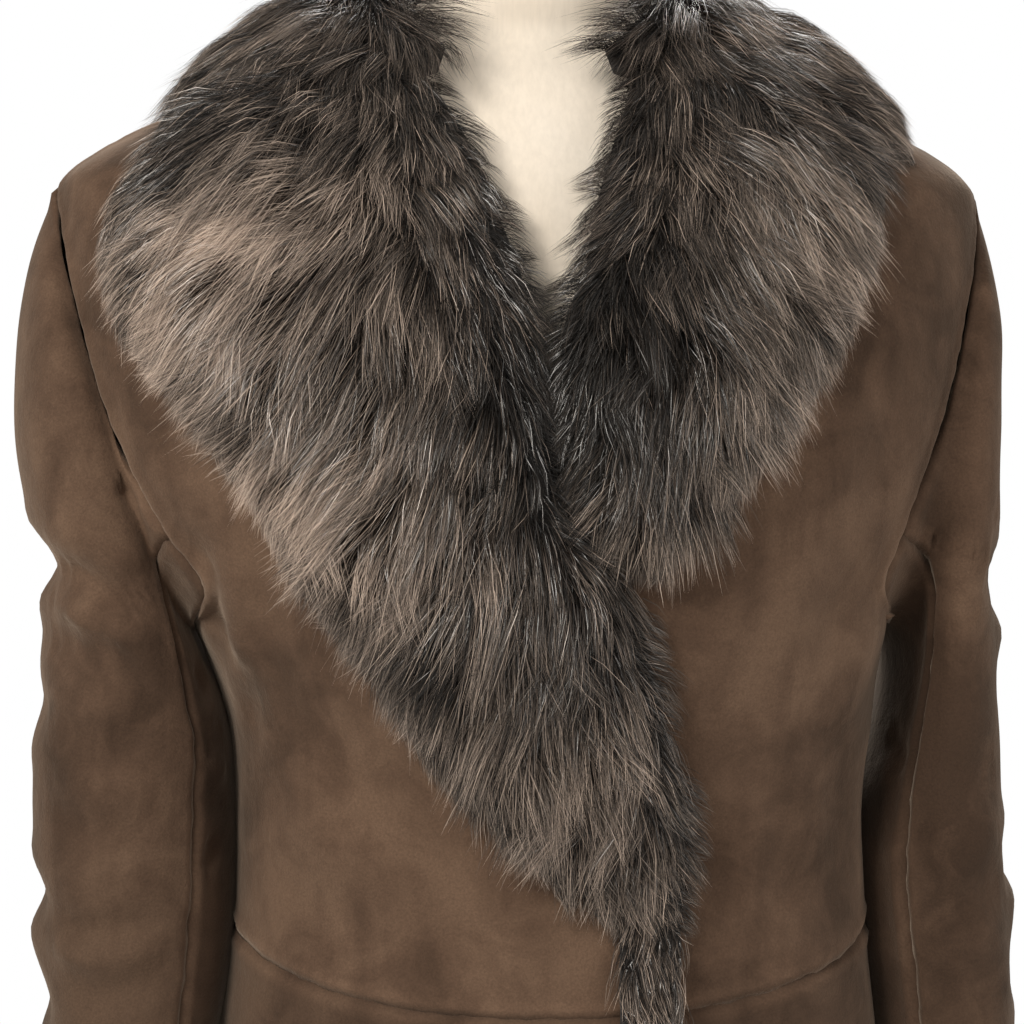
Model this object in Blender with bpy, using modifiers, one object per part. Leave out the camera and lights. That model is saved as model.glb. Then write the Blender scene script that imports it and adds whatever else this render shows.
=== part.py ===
"""A knee-length shearling coat buttoned over a limbless dress form on a round stand.

Metres, +Z up. The wearer faces -Y, so the wearer's right is -X. The origin is on the floor, under the middle
of the whole. The coat is cut as panels of one wall thickness, each its own closed piece, with a small gap at
every seam. A place on the coat's outer face is named by its height and its turn round the body: 0 degrees is
the wearer's left side seam, -90 the middle of the front, 90 the middle of the back and 180 the right side.
"""

import math

import bmesh
import bpy
import numpy as np

SEAM_GAP = 0.0003
INSIDE_GAP = 0.0020
SKIN = 0.003
LAYER_STEP = SKIN + 0.0014
LAYER_RAMP = (0.030, 0.065)
PILE_SEAT = 0.0014
EDGE_SEAT = 0.0007
EDGE_DEPTH = 0.22
PILE_ROUNDNESS = 0.6

HEM = 0.430
WAIST = 1.004
WAIST_DIP = 0.026
WAIST_FADE = 1.075
UNDERARM = 1.150
SHOULDER_TIP = 1.360
NECK = 1.437

FRONT_EDGE = 0.062
NECK_OPENING = 0.058
BREAK = 1.020

BODICE_ROWS = 6
ARMHOLE_ROWS = 10
SHOULDER_ROWS = 5
SKIRT_ROWS = 9
FRONT_COLUMNS = 13
BACK_COLUMNS = 22
SLEEVE_RINGS = 17


def table(columns, *rows):
    """Rows of numbers, kept as one array for each named column. The first column is looked up by value."""
    return dict(zip(columns.split(), np.array(rows, float).T))


# The coat's outer face, a squared-off oval at each height.
COAT = table(
    "height half_width front back sway squareness",
    (0.430, 0.262, 0.204, 0.2008, 0.000, 2.10),
    (0.620, 0.214, 0.172, 0.176, 0.001, 2.15),
    (0.760, 0.182, 0.150, 0.150, 0.004, 2.20),
    (0.850, 0.169, 0.139, 0.134, 0.008, 2.25),
    (0.955, 0.159, 0.128, 0.114, 0.012, 2.30),
    (1.005, 0.151, 0.122, 0.104, 0.011, 2.30),
    (1.055, 0.149, 0.122, 0.099, 0.010, 2.30),
    (1.100, 0.154, 0.130, 0.103, 0.013, 2.30),
    (1.150, 0.168, 0.139, 0.111, 0.009, 2.35),
    (1.200, 0.190, 0.141, 0.115, 0.002, 2.40),
    (1.250, 0.208, 0.135, 0.115, 0.000, 2.40),
    (1.300, 0.219, 0.121, 0.110, 0.000, 2.35),
    (1.335, 0.223, 0.105, 0.101, 0.000, 2.30),
    (1.360, 0.2230, 0.091, 0.091, 0.000, 2.20),
    (1.378, 0.1990, 0.081, 0.083, 0.000, 2.15),
    (1.392, 0.1700, 0.074, 0.077, 0.000, 2.10),
    (1.407, 0.1350, 0.067, 0.071, 0.000, 2.05),
    (1.422, 0.1000, 0.060, 0.065, 0.000, 2.00),
    (1.437, 0.0750, 0.052, 0.058, 0.000, 2.00),
)

# How far the armhole's edge is turned away from the side, up its depth.
ARMHOLE = table(
    "depth front back",
    (0.00, 0.0, 0.0),
    (0.03, 17.0, 14.0),
    (0.09, 27.5, 23.0),
    (0.22, 25.0, 23.0),
    (0.45, 20.0, 21.0),
    (0.72, 15.5, 17.0),
    (0.91, 8.5, 9.5),
    (1.00, 0.0, 0.0),
)

# The skirt's hanging folds: where each one lies, its half width, and how far it stands out at the hem.
SKIRT_FOLDS = (
    # turn, half width, rise
    (-148, 15, 0.011),
    (-122, 12, 0.008),
    (-63, 11, 0.007),
    (-34, 14, 0.012),
    (-4, 15, 0.009),
    (26, 14, 0.013),
    (57, 15, 0.011),
    (92, 17, 0.012),
    (124, 14, 0.012),
    (153, 14, 0.013),
    (179, 13, 0.008),
)

# Each sleeve below its armhole: the ring's outermost and innermost points, and its reach to front and back.
SLEEVES = {
    "right": table(
        "station out_x out_height in_x in_height front back squareness",
        (0.06, 0.2355, 1.330, 0.1605, 1.143, -0.063, 0.064, 2.1),
        (0.14, 0.2420, 1.292, 0.1535, 1.128, -0.066, 0.070, 2.2),
        (0.22, 0.2450, 1.248, 0.1462, 1.110, -0.066, 0.074, 2.3),
        (0.30, 0.2390, 1.204, 0.1424, 1.090, -0.064, 0.075, 2.3),
        (0.36, 0.2275, 1.172, 0.1413, 1.076, -0.060, 0.074, 2.3),
        (0.43, 0.2340, 1.130, 0.1406, 1.058, -0.060, 0.074, 2.3),
        (0.53, 0.2375, 1.060, 0.1412, 1.020, -0.062, 0.072, 2.3),
        (0.64, 0.2330, 0.985, 0.1490, 0.965, -0.064, 0.066, 2.3),
        (0.76, 0.2340, 0.905, 0.1620, 0.897, -0.068, 0.056, 2.3),
        (0.88, 0.2440, 0.830, 0.1750, 0.827, -0.070, 0.047, 2.3),
        (1.00, 0.2570, 0.760, 0.1890, 0.760, -0.072, 0.040, 2.3),
    ),
    "left": table(
        "station out_x out_height in_x in_height front back squareness",
        (0.06, 0.2310, 1.332, 0.1810, 1.143, -0.061, 0.064, 2.1),
        (0.14, 0.2357, 1.300, 0.1850, 1.128, -0.063, 0.070, 2.2),
        (0.22, 0.2352, 1.254, 0.1840, 1.110, -0.063, 0.074, 2.3),
        (0.30, 0.2342, 1.205, 0.1810, 1.090, -0.062, 0.075, 2.3),
        (0.36, 0.2325, 1.176, 0.1785, 1.076, -0.061, 0.075, 2.3),
        (0.43, 0.2350, 1.136, 0.1740, 1.058, -0.061, 0.074, 2.3),
        (0.53, 0.2375, 1.066, 0.1690, 1.020, -0.063, 0.072, 2.3),
        (0.64, 0.2400, 0.990, 0.1745, 0.965, -0.065, 0.066, 2.3),
        (0.76, 0.2440, 0.905, 0.1810, 0.897, -0.068, 0.056, 2.3),
        (0.88, 0.2530, 0.830, 0.1880, 0.827, -0.070, 0.047, 2.3),
        (1.00, 0.2640, 0.760, 0.1970, 0.760, -0.072, 0.040, 2.3),
    ),
}
FRONT_SLEEVE_SEAM = 7
BACK_SLEEVE_SEAM = 13

# The lapels' pile from its low end up: the edge along the neckline, the outer edge, and the pile's depth.
OVER_LAPEL = table(
    "run inner_x inner_height outer_x outer_height pile",
    (0.00, 0.060, 1.020, 0.034, 1.020, 0.012),
    (0.08, 0.064, 1.046, 0.006, 1.042, 0.019),
    (0.17, 0.063, 1.074, -0.024, 1.072, 0.025),
    (0.27, 0.053, 1.108, -0.052, 1.104, 0.028),
    (0.37, 0.045, 1.139, -0.072, 1.134, 0.029),
    (0.46, 0.037, 1.168, -0.093, 1.164, 0.030),
    (0.56, 0.011, 1.203, -0.113, 1.193, 0.031),
    (0.65, 0.000, 1.236, -0.135, 1.233, 0.032),
    (0.76, -0.005, 1.288, -0.160, 1.263, 0.033),
    (0.86, -0.017, 1.330, -0.184, 1.296, 0.033),
    (0.94, -0.031, 1.371, -0.192, 1.333, 0.032),
    (1.00, -0.052, 1.408, -0.179, 1.360, 0.030),
)
UNDER_LAPEL = table(
    "run inner_x inner_height outer_x outer_height pile",
    (0.00, 0.042, 1.184, 0.052, 1.186, 0.010),
    (0.14, 0.028, 1.196, 0.064, 1.200, 0.019),
    (0.28, 0.014, 1.212, 0.082, 1.221, 0.026),
    (0.42, 0.007, 1.240, 0.101, 1.243, 0.029),
    (0.56, 0.007, 1.282, 0.122, 1.273, 0.031),
    (0.70, 0.018, 1.312, 0.140, 1.303, 0.032),
    (0.84, 0.026, 1.345, 0.152, 1.335, 0.032),
    (1.00, 0.046, 1.402, 0.158, 1.362, 0.030),
)
LAPEL_ROWS = 16
LAPEL_COLUMNS = 9

# The collar round the neck, from its end at the right lapel to its end at the left one: where its edge at the
# neckline and its outer edge lie on the coat, its pile's depth, and how high it stands and leans at the neck.
COLLAR = table(
    "run neck_turn neck_height outer_turn outer_height pile stand lean",
    (0.00, -115.0, 1.413, -143.0, 1.376, 0.028, 0.026, 0.014),
    (0.07, -140.0, 1.428, -160.0, 1.391, 0.030, 0.032, 0.015),
    (0.15, -176.0, 1.436, -180.0, 1.400, 0.034, 0.038, 0.016),
    (0.30, -222.0, 1.436, -222.0, 1.368, 0.038, 0.040, 0.008),
    (0.50, -270.0, 1.436, -270.0, 1.345, 0.038, 0.040, 0.004),
    (0.70, -318.0, 1.436, -318.0, 1.368, 0.038, 0.040, 0.008),
    (0.85, -364.0, 1.436, -360.0, 1.398, 0.035, 0.038, 0.016),
    (0.93, -402.0, 1.428, -380.0, 1.384, 0.032, 0.032, 0.015),
    (1.00, -428.0, 1.413, -402.0, 1.368, 0.029, 0.026, 0.014),
)
COLLAR_COLUMNS = 32
COLLAR_ROWS = 7
COLLAR_CREST = 0.64
COLLAR_ROLL = 0.35

EDGE_STRIP = 0.027
EDGE_PILE = 0.010
EDGE_CROWN = (0.15, 0.85)
EDGE_INSET = 0.001
HEM_INSET = 0.002
EDGE_ROWS = 12
EDGE_COLUMNS = 3

# The dress form: a smooth torso that only meets the coat along the tops of the shoulders.
FORM = table(
    "height half_width front back squareness",
    (0.800, 0.138, 0.100, 0.104, 2.2),
    (0.880, 0.143, 0.103, 0.106, 2.2),
    (0.960, 0.132, 0.098, 0.093, 2.2),
    (1.050, 0.120, 0.096, 0.080, 2.2),
    (1.130, 0.136, 0.112, 0.086, 2.25),
    (1.200, 0.156, 0.124, 0.095, 2.3),
    (1.260, 0.172, 0.118, 0.098, 2.35),
    (1.310, 0.182, 0.104, 0.095, 2.3),
    (1.345, 0.187, 0.090, 0.085, 2.25),
    (1.364, 0.186, 0.080, 0.078, 2.2),
)
FORM_SHOULDER = 1.386
FORM_SHOULDER_ROWS = 7
FORM_SEAT = 0.0006
FORM_EASE = 0.004
FORM_NECK = table(
    "height half_width front back squareness",
    (1.444, 0.0560, 0.0500, 0.0480, 2.0),
    (1.460, 0.0520, 0.0500, 0.0480, 2.0),
    (1.500, 0.0510, 0.0500, 0.0480, 2.0),
    (1.520, 0.0510, 0.0500, 0.0480, 2.0),
)
FORM_COLUMNS = 32
NECK_CAP_HEIGHT = 0.012
POLE_RADIUS = 0.014
HUB_RADIUS = 0.030
HUB_HEIGHT = 0.055
BASE_RADIUS = 0.185
BASE_RIM = 0.014
BASE_HEIGHT = 0.030
FACETS = 48

COLOURS = {
    "suede": (0.118, 0.072, 0.046, 1.0),
    "pile": (0.050, 0.036, 0.028, 1.0),
    "linen": (0.86, 0.78, 0.66, 1.0),
    "steel": (0.55, 0.55, 0.56, 1.0),
}


def read(rows, column, at):
    """A column's value between its rows, on a smooth curve that never overshoots them."""
    key = next(iter(rows.values()))
    value = rows[column]
    gaps = np.diff(key)
    slopes = np.diff(value) / gaps
    bends = np.concatenate([slopes[:1], np.zeros(len(key) - 2), slopes[-1:]])
    steady = np.flatnonzero(slopes[:-1] * slopes[1:] > 0)
    bends[steady + 1] = 2 * slopes[steady] * slopes[steady + 1] / (slopes[steady] + slopes[steady + 1])
    at = np.clip(np.asarray(at, float), key[0], key[-1])
    row = np.clip(np.searchsorted(key, at) - 1, 0, len(gaps) - 1)
    t = (at - key[row]) / gaps[row]
    rise = value[row] * (1 + 2 * t) * (1 - t) ** 2 + value[row + 1] * t * t * (3 - 2 * t)
    return rise + gaps[row] * (bends[row] * t * (1 - t) ** 2 - bends[row + 1] * t * t * (1 - t))


def ease(t):
    t = np.clip(t, 0.0, 1.0)
    return t * t * (3 - 2 * t)


def oval(turn, half_width, front, back, squareness, sway=0.0):
    """Across and along the body, for a turn in degrees round one squared-off oval."""
    across = np.cos(np.radians(turn))
    along = np.sin(np.radians(turn))
    x = half_width * np.sign(across) * np.abs(across) ** (2 / squareness)
    y = np.where(along < 0, front, back) * np.sign(along) * np.abs(along) ** (2 / squareness)
    return x + sway, y


def skirt_folds(turn, height):
    """How far the hanging folds stand out below the waist."""
    out = np.zeros(np.broadcast(turn, height).shape)
    for place, half_width, rise in SKIRT_FOLDS:
        off = (turn - place + 180) % 360 - 180
        out += rise * np.cos(np.radians(np.clip(off / half_width, -1, 1) * 90)) ** 2
    return out * ease((WAIST - 0.03 - height) / (WAIST - HEM - 0.10))


def coat_face(turn, height):
    """The coat's outer face."""
    turn, height = np.broadcast_arrays(turn, height)
    x, y = oval(
        turn,
        read(COAT, "half_width", height),
        read(COAT, "front", height),
        read(COAT, "back", height),
        read(COAT, "squareness", height),
        read(COAT, "sway", height),
    )
    out = skirt_folds(turn, height)
    reach = np.hypot(x, y)
    return np.stack([x * (1 + out / reach), y * (1 + out / reach), height], axis=-1)


def outward(turn, height):
    """The outer face's unit normal."""
    step = 0.4
    rise = 0.0015
    along = coat_face(turn + step, height) - coat_face(turn - step, height)
    low = np.clip(height - rise, HEM, NECK)
    high = np.clip(height + rise, HEM, NECK)
    up = coat_face(turn, high) - coat_face(turn, low)
    normal = np.cross(along, up)
    return normal / np.linalg.norm(normal, axis=-1, keepdims=True)


def front_turn(x, height):
    """The turn, on the front, of a place that far across at that height."""
    reach = (x - read(COAT, "sway", height)) / read(COAT, "half_width", height)
    reach = np.clip(reach, -1, 1)
    turn = np.degrees(np.arccos(np.abs(reach) ** (read(COAT, "squareness", height) / 2)))
    return np.where(reach > 0, -turn, turn - 180)


def neckline(height):
    """How far across the over front's edge lies: straight up to the break, then back along the roll line."""
    rise = np.clip((height - BREAK) / (NECK - BREAK), 0, 1)
    return FRONT_EDGE - (FRONT_EDGE + NECK_OPENING) * rise


def waist_drop(turn):
    """How far the waist seam lies below its height at the sides: it dips towards the middle of the front."""
    return WAIST_DIP * np.clip(-np.sin(np.radians(turn)), 0, 1) ** 1.5


def armhole_turn(height, side):
    """How far the armhole's edge, or above and below it the seam, is turned from the side."""
    depth = (height - UNDERARM) / (SHOULDER_TIP - UNDERARM)
    return np.where((depth > 0) & (depth < 1), read(ARMHOLE, side, depth), 0.0)


def bodice_heights():
    low = np.linspace(WAIST, UNDERARM, BODICE_ROWS + 1)[:-1]
    swing = (1 - np.cos(np.linspace(0, np.pi, ARMHOLE_ROWS + 1))) / 2
    middle = UNDERARM + (SHOULDER_TIP - UNDERARM) * swing
    high = np.linspace(SHOULDER_TIP, NECK, SHOULDER_ROWS + 1)[1:]
    return np.concatenate([low, middle, high])


def new_object(name, mesh, material, smooth_angle=None):
    body = bpy.data.objects.new(name, mesh)
    bpy.data.collections["shearling_coat"].objects.link(body)
    mesh.materials.append(bpy.data.materials[material])
    if smooth_angle:
        mesh.shade_smooth()
        mesh.set_sharp_from_angle(angle=math.radians(smooth_angle))
    return body


def slab(name, outer, inner, material):
    """A closed piece between two like grids of points. Rows go up, and columns turn with the body."""
    rows, columns = outer.shape[:2]
    points = np.concatenate([outer.reshape(-1, 3), inner.reshape(-1, 3)])
    index = np.arange(rows * columns).reshape(rows, columns)
    under = index + rows * columns
    faces = []
    for row in range(rows - 1):
        for column in range(columns - 1):
            corners = ((row, column), (row, column + 1), (row + 1, column + 1), (row + 1, column))
            faces.append([index[corner] for corner in corners])
            faces.append([under[corner] for corner in reversed(corners)])
    rim = np.concatenate([index[0], index[1:, -1], index[-1, -2::-1], index[-2:0:-1, 0]])
    for here, there in zip(rim, np.roll(rim, -1)):
        faces.append([there, here, here + rows * columns, there + rows * columns])
    mesh = bpy.data.meshes.new(name)
    mesh.from_pydata(points.tolist(), [], [tuple(int(i) for i in face) for face in faces])
    return new_object(name, mesh, material, smooth_angle=50)


def drawn_back(points, gap=SEAM_GAP / 2):
    """The same grid with its four edges drawn in from the seam line."""
    points = points.copy()
    for edge, inside in ((0, 1), (-1, -2)):
        along = points[inside] - points[edge]
        points[edge] += along * gap / np.linalg.norm(along, axis=-1, keepdims=True)
        along = points[:, inside] - points[:, edge]
        points[:, edge] += along * gap / np.linalg.norm(along, axis=-1, keepdims=True)
    return points


def cloth(name, turn, height, sunk=0.0):
    """A panel of the coat at its grids of turns and heights, sunk where it runs under another."""
    normal = outward(turn, height)
    outer = coat_face(turn, height) - normal * np.asarray(sunk)[..., None]
    inner = outer - normal * SKIN
    return slab(name, drawn_back(outer), drawn_back(inner), "suede")


def between(start, end, columns):
    """Columns of values from one edge's column to the other's."""
    across = np.linspace(0, 1, columns + 1)
    return start[:, None] * (1 - across) + end[:, None] * across


def under_step(turn, height):
    """How far the under front is sunk, where the over front lies on it."""
    x = coat_face(turn, height)[..., 0]
    full, none = LAYER_RAMP
    return LAYER_STEP * ease((neckline(height) + none - x) / (none - full))


def make_bodice():
    heights = bodice_heights()
    fade = ease((WAIST_FADE - heights) / (WAIST_FADE - WAIST))[:, None]

    side = -180 + armhole_turn(heights, "front")
    turn = between(side, front_turn(neckline(heights), heights), FRONT_COLUMNS)
    height = heights[:, None] - fade * waist_drop(turn)
    cloth("bodice_front_right", turn, height)

    turn = between(front_turn(-neckline(heights), heights), -armhole_turn(heights, "front"), FRONT_COLUMNS)
    height = heights[:, None] - fade * waist_drop(turn)
    cloth("bodice_front_left", turn, height, under_step(turn, height))

    turn = between(armhole_turn(heights, "back"), 180 - armhole_turn(heights, "back"), BACK_COLUMNS)
    height = heights[:, None] - fade * waist_drop(turn)
    cloth("bodice_back", turn, height)


def make_skirt():
    rise = np.linspace(0, 1, SKIRT_ROWS + 1)[:, None]

    def heights(turn):
        return HEM + rise * (WAIST - waist_drop(turn) - HEM)

    levels = HEM + rise[:, 0] * (WAIST - HEM)
    sides = np.full(len(levels), 180.0)
    edge = np.full(len(levels), FRONT_EDGE)
    turn = between(-sides, front_turn(edge, levels), FRONT_COLUMNS)
    cloth("skirt_front_right", turn, heights(turn))
    turn = between(front_turn(-edge, levels), 0 * sides, FRONT_COLUMNS)
    cloth("skirt_front_left", turn, heights(turn), under_step(turn, heights(turn)))
    turn = between(0 * sides, sides, BACK_COLUMNS)
    cloth("skirt_back", turn, heights(turn))


def armhole_loop(side):
    """The bodice's edge round one armhole, from the shoulder tip by the front, underarm and back."""
    swing = np.arange(2 * ARMHOLE_ROWS) * np.pi / ARMHOLE_ROWS
    height = (UNDERARM + SHOULDER_TIP) / 2 + (SHOULDER_TIP - UNDERARM) / 2 * np.cos(swing)
    front = np.arange(2 * ARMHOLE_ROWS) < ARMHOLE_ROWS
    turn = np.where(front, -armhole_turn(height, "front"), armhole_turn(height, "back"))
    if side == "right":
        turn = np.where(front, -180 - turn, 180 - turn)
    return coat_face(turn, height)


def sleeve_rings(side):
    """Every ring of one sleeve, from the armhole to the cuff, as rows of points round it."""
    rows = SLEEVES[side]
    out = 1 if side == "left" else -1
    swing = np.arange(2 * ARMHOLE_ROWS) * np.pi / ARMHOLE_ROWS
    loop = armhole_loop(side)
    rings = [loop + [out * SEAM_GAP, 0, 0]]
    for row in range(len(rows["station"])):
        ring = {column: values[row] for column, values in rows.items()}
        across = np.sign(np.cos(swing)) * np.abs(np.cos(swing)) ** (2 / ring["squareness"])
        along = np.sign(np.sin(swing)) * np.abs(np.sin(swing)) ** (2 / ring["squareness"])
        middle_y = (ring["front"] + ring["back"]) / 2
        x, z = (
            ring[f"in_{way}"] + (ring[f"out_{way}"] - ring[f"in_{way}"]) * (1 + across) / 2
            for way in ("x", "height")
        )
        y = middle_y + (ring["front"] - middle_y) * along
        rings.append(np.stack([out * x, y, z], axis=-1))
    stations = np.concatenate([[0.0], rows["station"]])
    wanted = np.concatenate([stations[:2], np.linspace(0, 1, SLEEVE_RINGS + 1)[2:]])
    loft = {"station": stations}
    rings = np.stack(rings)
    smooth = np.empty((len(wanted), *rings.shape[1:]))
    for point in range(rings.shape[1]):
        for axis in range(3):
            loft["place"] = rings[:, point, axis]
            smooth[:, point, axis] = read(loft, "place", wanted)
    return smooth


def make_sleeve(side):
    rings = sleeve_rings(side)
    around = np.roll(rings, -1, axis=1) - np.roll(rings, 1, axis=1)
    down = np.gradient(rings, axis=0)
    normal = np.cross(around, down)
    normal *= 1 if side == "left" else -1
    normal[0] = normal[1]
    normal /= np.linalg.norm(normal, axis=-1, keepdims=True)
    count = rings.shape[1]
    upper = np.arange(BACK_SLEEVE_SEAM, FRONT_SLEEVE_SEAM + count + 1) % count
    under = np.arange(FRONT_SLEEVE_SEAM, BACK_SLEEVE_SEAM + 1)
    for name, strip in (("upper", upper), ("under", under)):
        # Rows run up the sleeve and columns turn with the body, as the slab's faces need.
        strip = strip if side == "right" else strip[::-1]
        outer = rings[::-1][:, strip]
        inner = outer - normal[::-1][:, strip] * SKIN
        slab(f"sleeve_{name}_{side}", drawn_back(outer), drawn_back(inner, INSIDE_GAP), "suede")


def pile_slab(name, turn, height, depth, seat=PILE_SEAT):
    """Fur lying on the coat's face, as deep as its pile reaches."""
    base = coat_face(turn, height)
    normal = outward(turn, height)
    return slab(name, base + normal * (seat + depth)[..., None], base + normal * seat, "pile")


def rounded(across):
    """A pile's depth across its width, full in the middle and thin at both edges."""
    return EDGE_DEPTH + (1 - EDGE_DEPTH) * np.sin(np.pi * np.clip(across, 0, 1)) ** PILE_ROUNDNESS


def make_lapel(name, rows, mirrored):
    run = np.linspace(0, 1, LAPEL_ROWS + 1)[:, None]
    across = np.linspace(0, 1, LAPEL_COLUMNS + 1)[None, :]
    start, end = ("outer", "inner") if not mirrored else ("inner", "outer")
    x = read(rows, start + "_x", run) * (1 - across) + read(rows, end + "_x", run) * across
    height = read(rows, start + "_height", run) * (1 - across) + read(rows, end + "_height", run) * across
    pile_slab(name, front_turn(x, height), height, read(rows, "pile", run) * rounded(across))


def make_edge_strip():
    levels = np.linspace(HEM + HEM_INSET, BREAK - SEAM_GAP, EDGE_ROWS + 1)[:, None]
    across = np.linspace(0, 1, EDGE_COLUMNS + 1)[None, :]
    x = FRONT_EDGE - EDGE_INSET - EDGE_STRIP * (1 - across) + 0 * levels
    height = levels + 0 * x
    low, high = EDGE_CROWN
    depth = EDGE_PILE * rounded(low + (high - low) * across) + 0 * x
    pile_slab("edge_fur", front_turn(x, height), height, depth, EDGE_SEAT)


def make_collar():
    run = np.linspace(0, 1, COLLAR_COLUMNS + 1)[None, ::-1]
    across = np.linspace(0, 1, COLLAR_ROWS + 1)[:, None]
    turn = read(COLLAR, "outer_turn", run) * (1 - across) + read(COLLAR, "neck_turn", run) * across
    height = read(COLLAR, "outer_height", run) * (1 - across) + read(COLLAR, "neck_height", run) * across
    base = coat_face(turn, height)
    normal = outward(turn, height)
    inner = base + normal * PILE_SEAT
    depth = read(COLLAR, "pile", run) * rounded(COLLAR_CREST * across)
    # Near the neck the pile stands up and leans in over the neckline instead of standing off the shoulder.
    upright = ease((across - COLLAR_ROLL) / (1 - COLLAR_ROLL))[..., None]
    lean = base * [-1, -1, 0] / np.linalg.norm(base[..., :2], axis=-1, keepdims=True)
    stand = read(COLLAR, "stand", run)[..., None] * [0, 0, 1] + lean * read(COLLAR, "lean", run)[..., None]
    outer = inner + normal * depth[..., None] * (1 - upright) + stand * upright
    slab("collar_fur", outer, inner, "pile")


def ring_of(rows, height, turn):
    shape = (read(rows, column, height) for column in ("half_width", "front", "back", "squareness"))
    x, y = oval(turn, *shape)
    return np.stack([x, y, np.full(len(turn), height)], axis=-1)


def make_form_torso():
    turn = np.arange(FORM_COLUMNS) * 360 / FORM_COLUMNS
    rings = [ring_of(FORM, height, turn) for height in FORM["height"]]
    # Along the tops of the shoulders the form is the coat's inner face again, just below it.
    below = SKIN + FORM_SEAT + FORM_EASE * np.abs(np.sin(np.radians(turn)))
    for height in np.linspace(FORM_SHOULDER, NECK, FORM_SHOULDER_ROWS):
        rings.append(coat_face(turn, height) - outward(turn, height) * below[:, None])
    rings += [ring_of(FORM_NECK, height, turn) for height in FORM_NECK["height"]]
    points = np.concatenate(rings)
    count = FORM_COLUMNS
    faces = [tuple(range(count))[::-1]]
    for ring in range(len(rings) - 1):
        for column in range(count):
            a = ring * count + column
            b = ring * count + (column + 1) % count
            faces.append((a, b, b + count, a + count))
    faces.append(tuple(range(len(points) - count, len(points))))
    mesh = bpy.data.meshes.new("form_torso")
    mesh.from_pydata(points.tolist(), [], faces)
    new_object("form_torso", mesh, "linen", smooth_angle=50)


def turned(name, profile, material):
    """A turned piece: a profile at +X, from its top down its outer side, screwed round the upright axis."""
    mesh = bpy.data.meshes.new(name)
    links = [(i, i + 1) for i in range(len(profile) - 1)]
    mesh.from_pydata([(radius, 0, height) for radius, height in profile], links, [])
    body = new_object(name, mesh, material)
    screw = body.modifiers.new("turn", "SCREW")
    screw.steps = FACETS
    screw.render_steps = FACETS
    screw.use_merge_vertices = True
    screw.merge_threshold = 0.0001
    screw.use_smooth_shade = True
    return body


def make_stand():
    top = FORM_NECK["height"][-1] + SEAM_GAP
    radius = FORM_NECK["front"][-1]
    turned(
        "form_neck_cap",
        [
            (0, top + NECK_CAP_HEIGHT),
            (radius * 0.80, top + NECK_CAP_HEIGHT * 0.88),
            (radius * 0.97, top + NECK_CAP_HEIGHT * 0.55),
            (radius, top + NECK_CAP_HEIGHT * 0.25),
            (radius, top),
            (0, top),
        ],
        "linen",
    )
    pole_top = FORM["height"][0] - SEAM_GAP
    turned("form_pole", [(0, pole_top), (POLE_RADIUS, pole_top), (POLE_RADIUS, HUB_HEIGHT + SEAM_GAP),
                         (0, HUB_HEIGHT + SEAM_GAP)], "steel")
    turned(
        "form_base",
        [
            (0, HUB_HEIGHT),
            (HUB_RADIUS * 0.86, HUB_HEIGHT),
            (HUB_RADIUS, HUB_HEIGHT - 0.004),
            (HUB_RADIUS, BASE_HEIGHT),
            (BASE_RADIUS * 0.60, BASE_HEIGHT * 0.82),
            (BASE_RADIUS * 0.94, BASE_RIM),
            (BASE_RADIUS, BASE_RIM * 0.6),
            (BASE_RADIUS, 0),
            (0, 0),
        ],
        "steel",
    )


def make_materials():
    looks = {"suede": (0.92, 0.0), "pile": (0.75, 0.0), "linen": (0.85, 0.0), "steel": (0.35, 1.0)}
    for name, (roughness, metallic) in looks.items():
        material = bpy.data.materials.new(name)
        material.use_nodes = True
        shader = material.node_tree.nodes["Principled BSDF"]
        shader.inputs["Base Color"].default_value = COLOURS[name]
        shader.inputs["Roughness"].default_value = roughness
        shader.inputs["Metallic"].default_value = metallic


def main():
    for body in list(bpy.data.objects):
        bpy.data.objects.remove(body)
    bpy.context.scene.collection.children.link(bpy.data.collections.new("shearling_coat"))
    make_materials()
    make_bodice()
    make_skirt()
    for side in SLEEVES:
        make_sleeve(side)
    make_lapel("lapel_fur_right", OVER_LAPEL, mirrored=False)
    make_lapel("lapel_fur_left", UNDER_LAPEL, mirrored=True)
    make_edge_strip()
    make_collar()
    make_form_torso()
    make_stand()


main()
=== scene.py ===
# %% [markdown]
# # A shearling coat on a dress form
# The real coat is sheepskin: a brown suede face outside, and a long, glossy fur that is turned out at the
# collar, the lapels and the front edge. It hangs closed on a limbless, cloth-covered dress form.
# The imported model is loaded first and its shapes are never changed. Each cloth panel is read back from it as
# a smooth sheet, creased and given its suede, and the fur is combed over a dark pelt.

# %% Load the imported coat
import collections
import math

import bmesh
import bpy
import numpy as np
from mathutils import Matrix, Vector, noise
from mathutils.bvhtree import BVHTree
from mathutils.kdtree import KDTree


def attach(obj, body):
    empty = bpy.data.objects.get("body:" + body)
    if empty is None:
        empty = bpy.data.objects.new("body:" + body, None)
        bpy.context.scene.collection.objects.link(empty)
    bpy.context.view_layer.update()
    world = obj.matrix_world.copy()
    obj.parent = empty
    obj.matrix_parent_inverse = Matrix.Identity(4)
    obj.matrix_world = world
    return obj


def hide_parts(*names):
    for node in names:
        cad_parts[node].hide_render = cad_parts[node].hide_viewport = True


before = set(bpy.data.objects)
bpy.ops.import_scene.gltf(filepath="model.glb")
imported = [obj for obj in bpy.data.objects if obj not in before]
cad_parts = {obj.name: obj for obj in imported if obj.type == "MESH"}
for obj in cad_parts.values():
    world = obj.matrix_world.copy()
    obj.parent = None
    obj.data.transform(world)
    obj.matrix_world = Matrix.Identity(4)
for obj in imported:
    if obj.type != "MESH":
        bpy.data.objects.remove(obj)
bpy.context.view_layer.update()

scene = bpy.context.scene
print("nodes:", ", ".join(sorted(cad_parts)))
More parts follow.
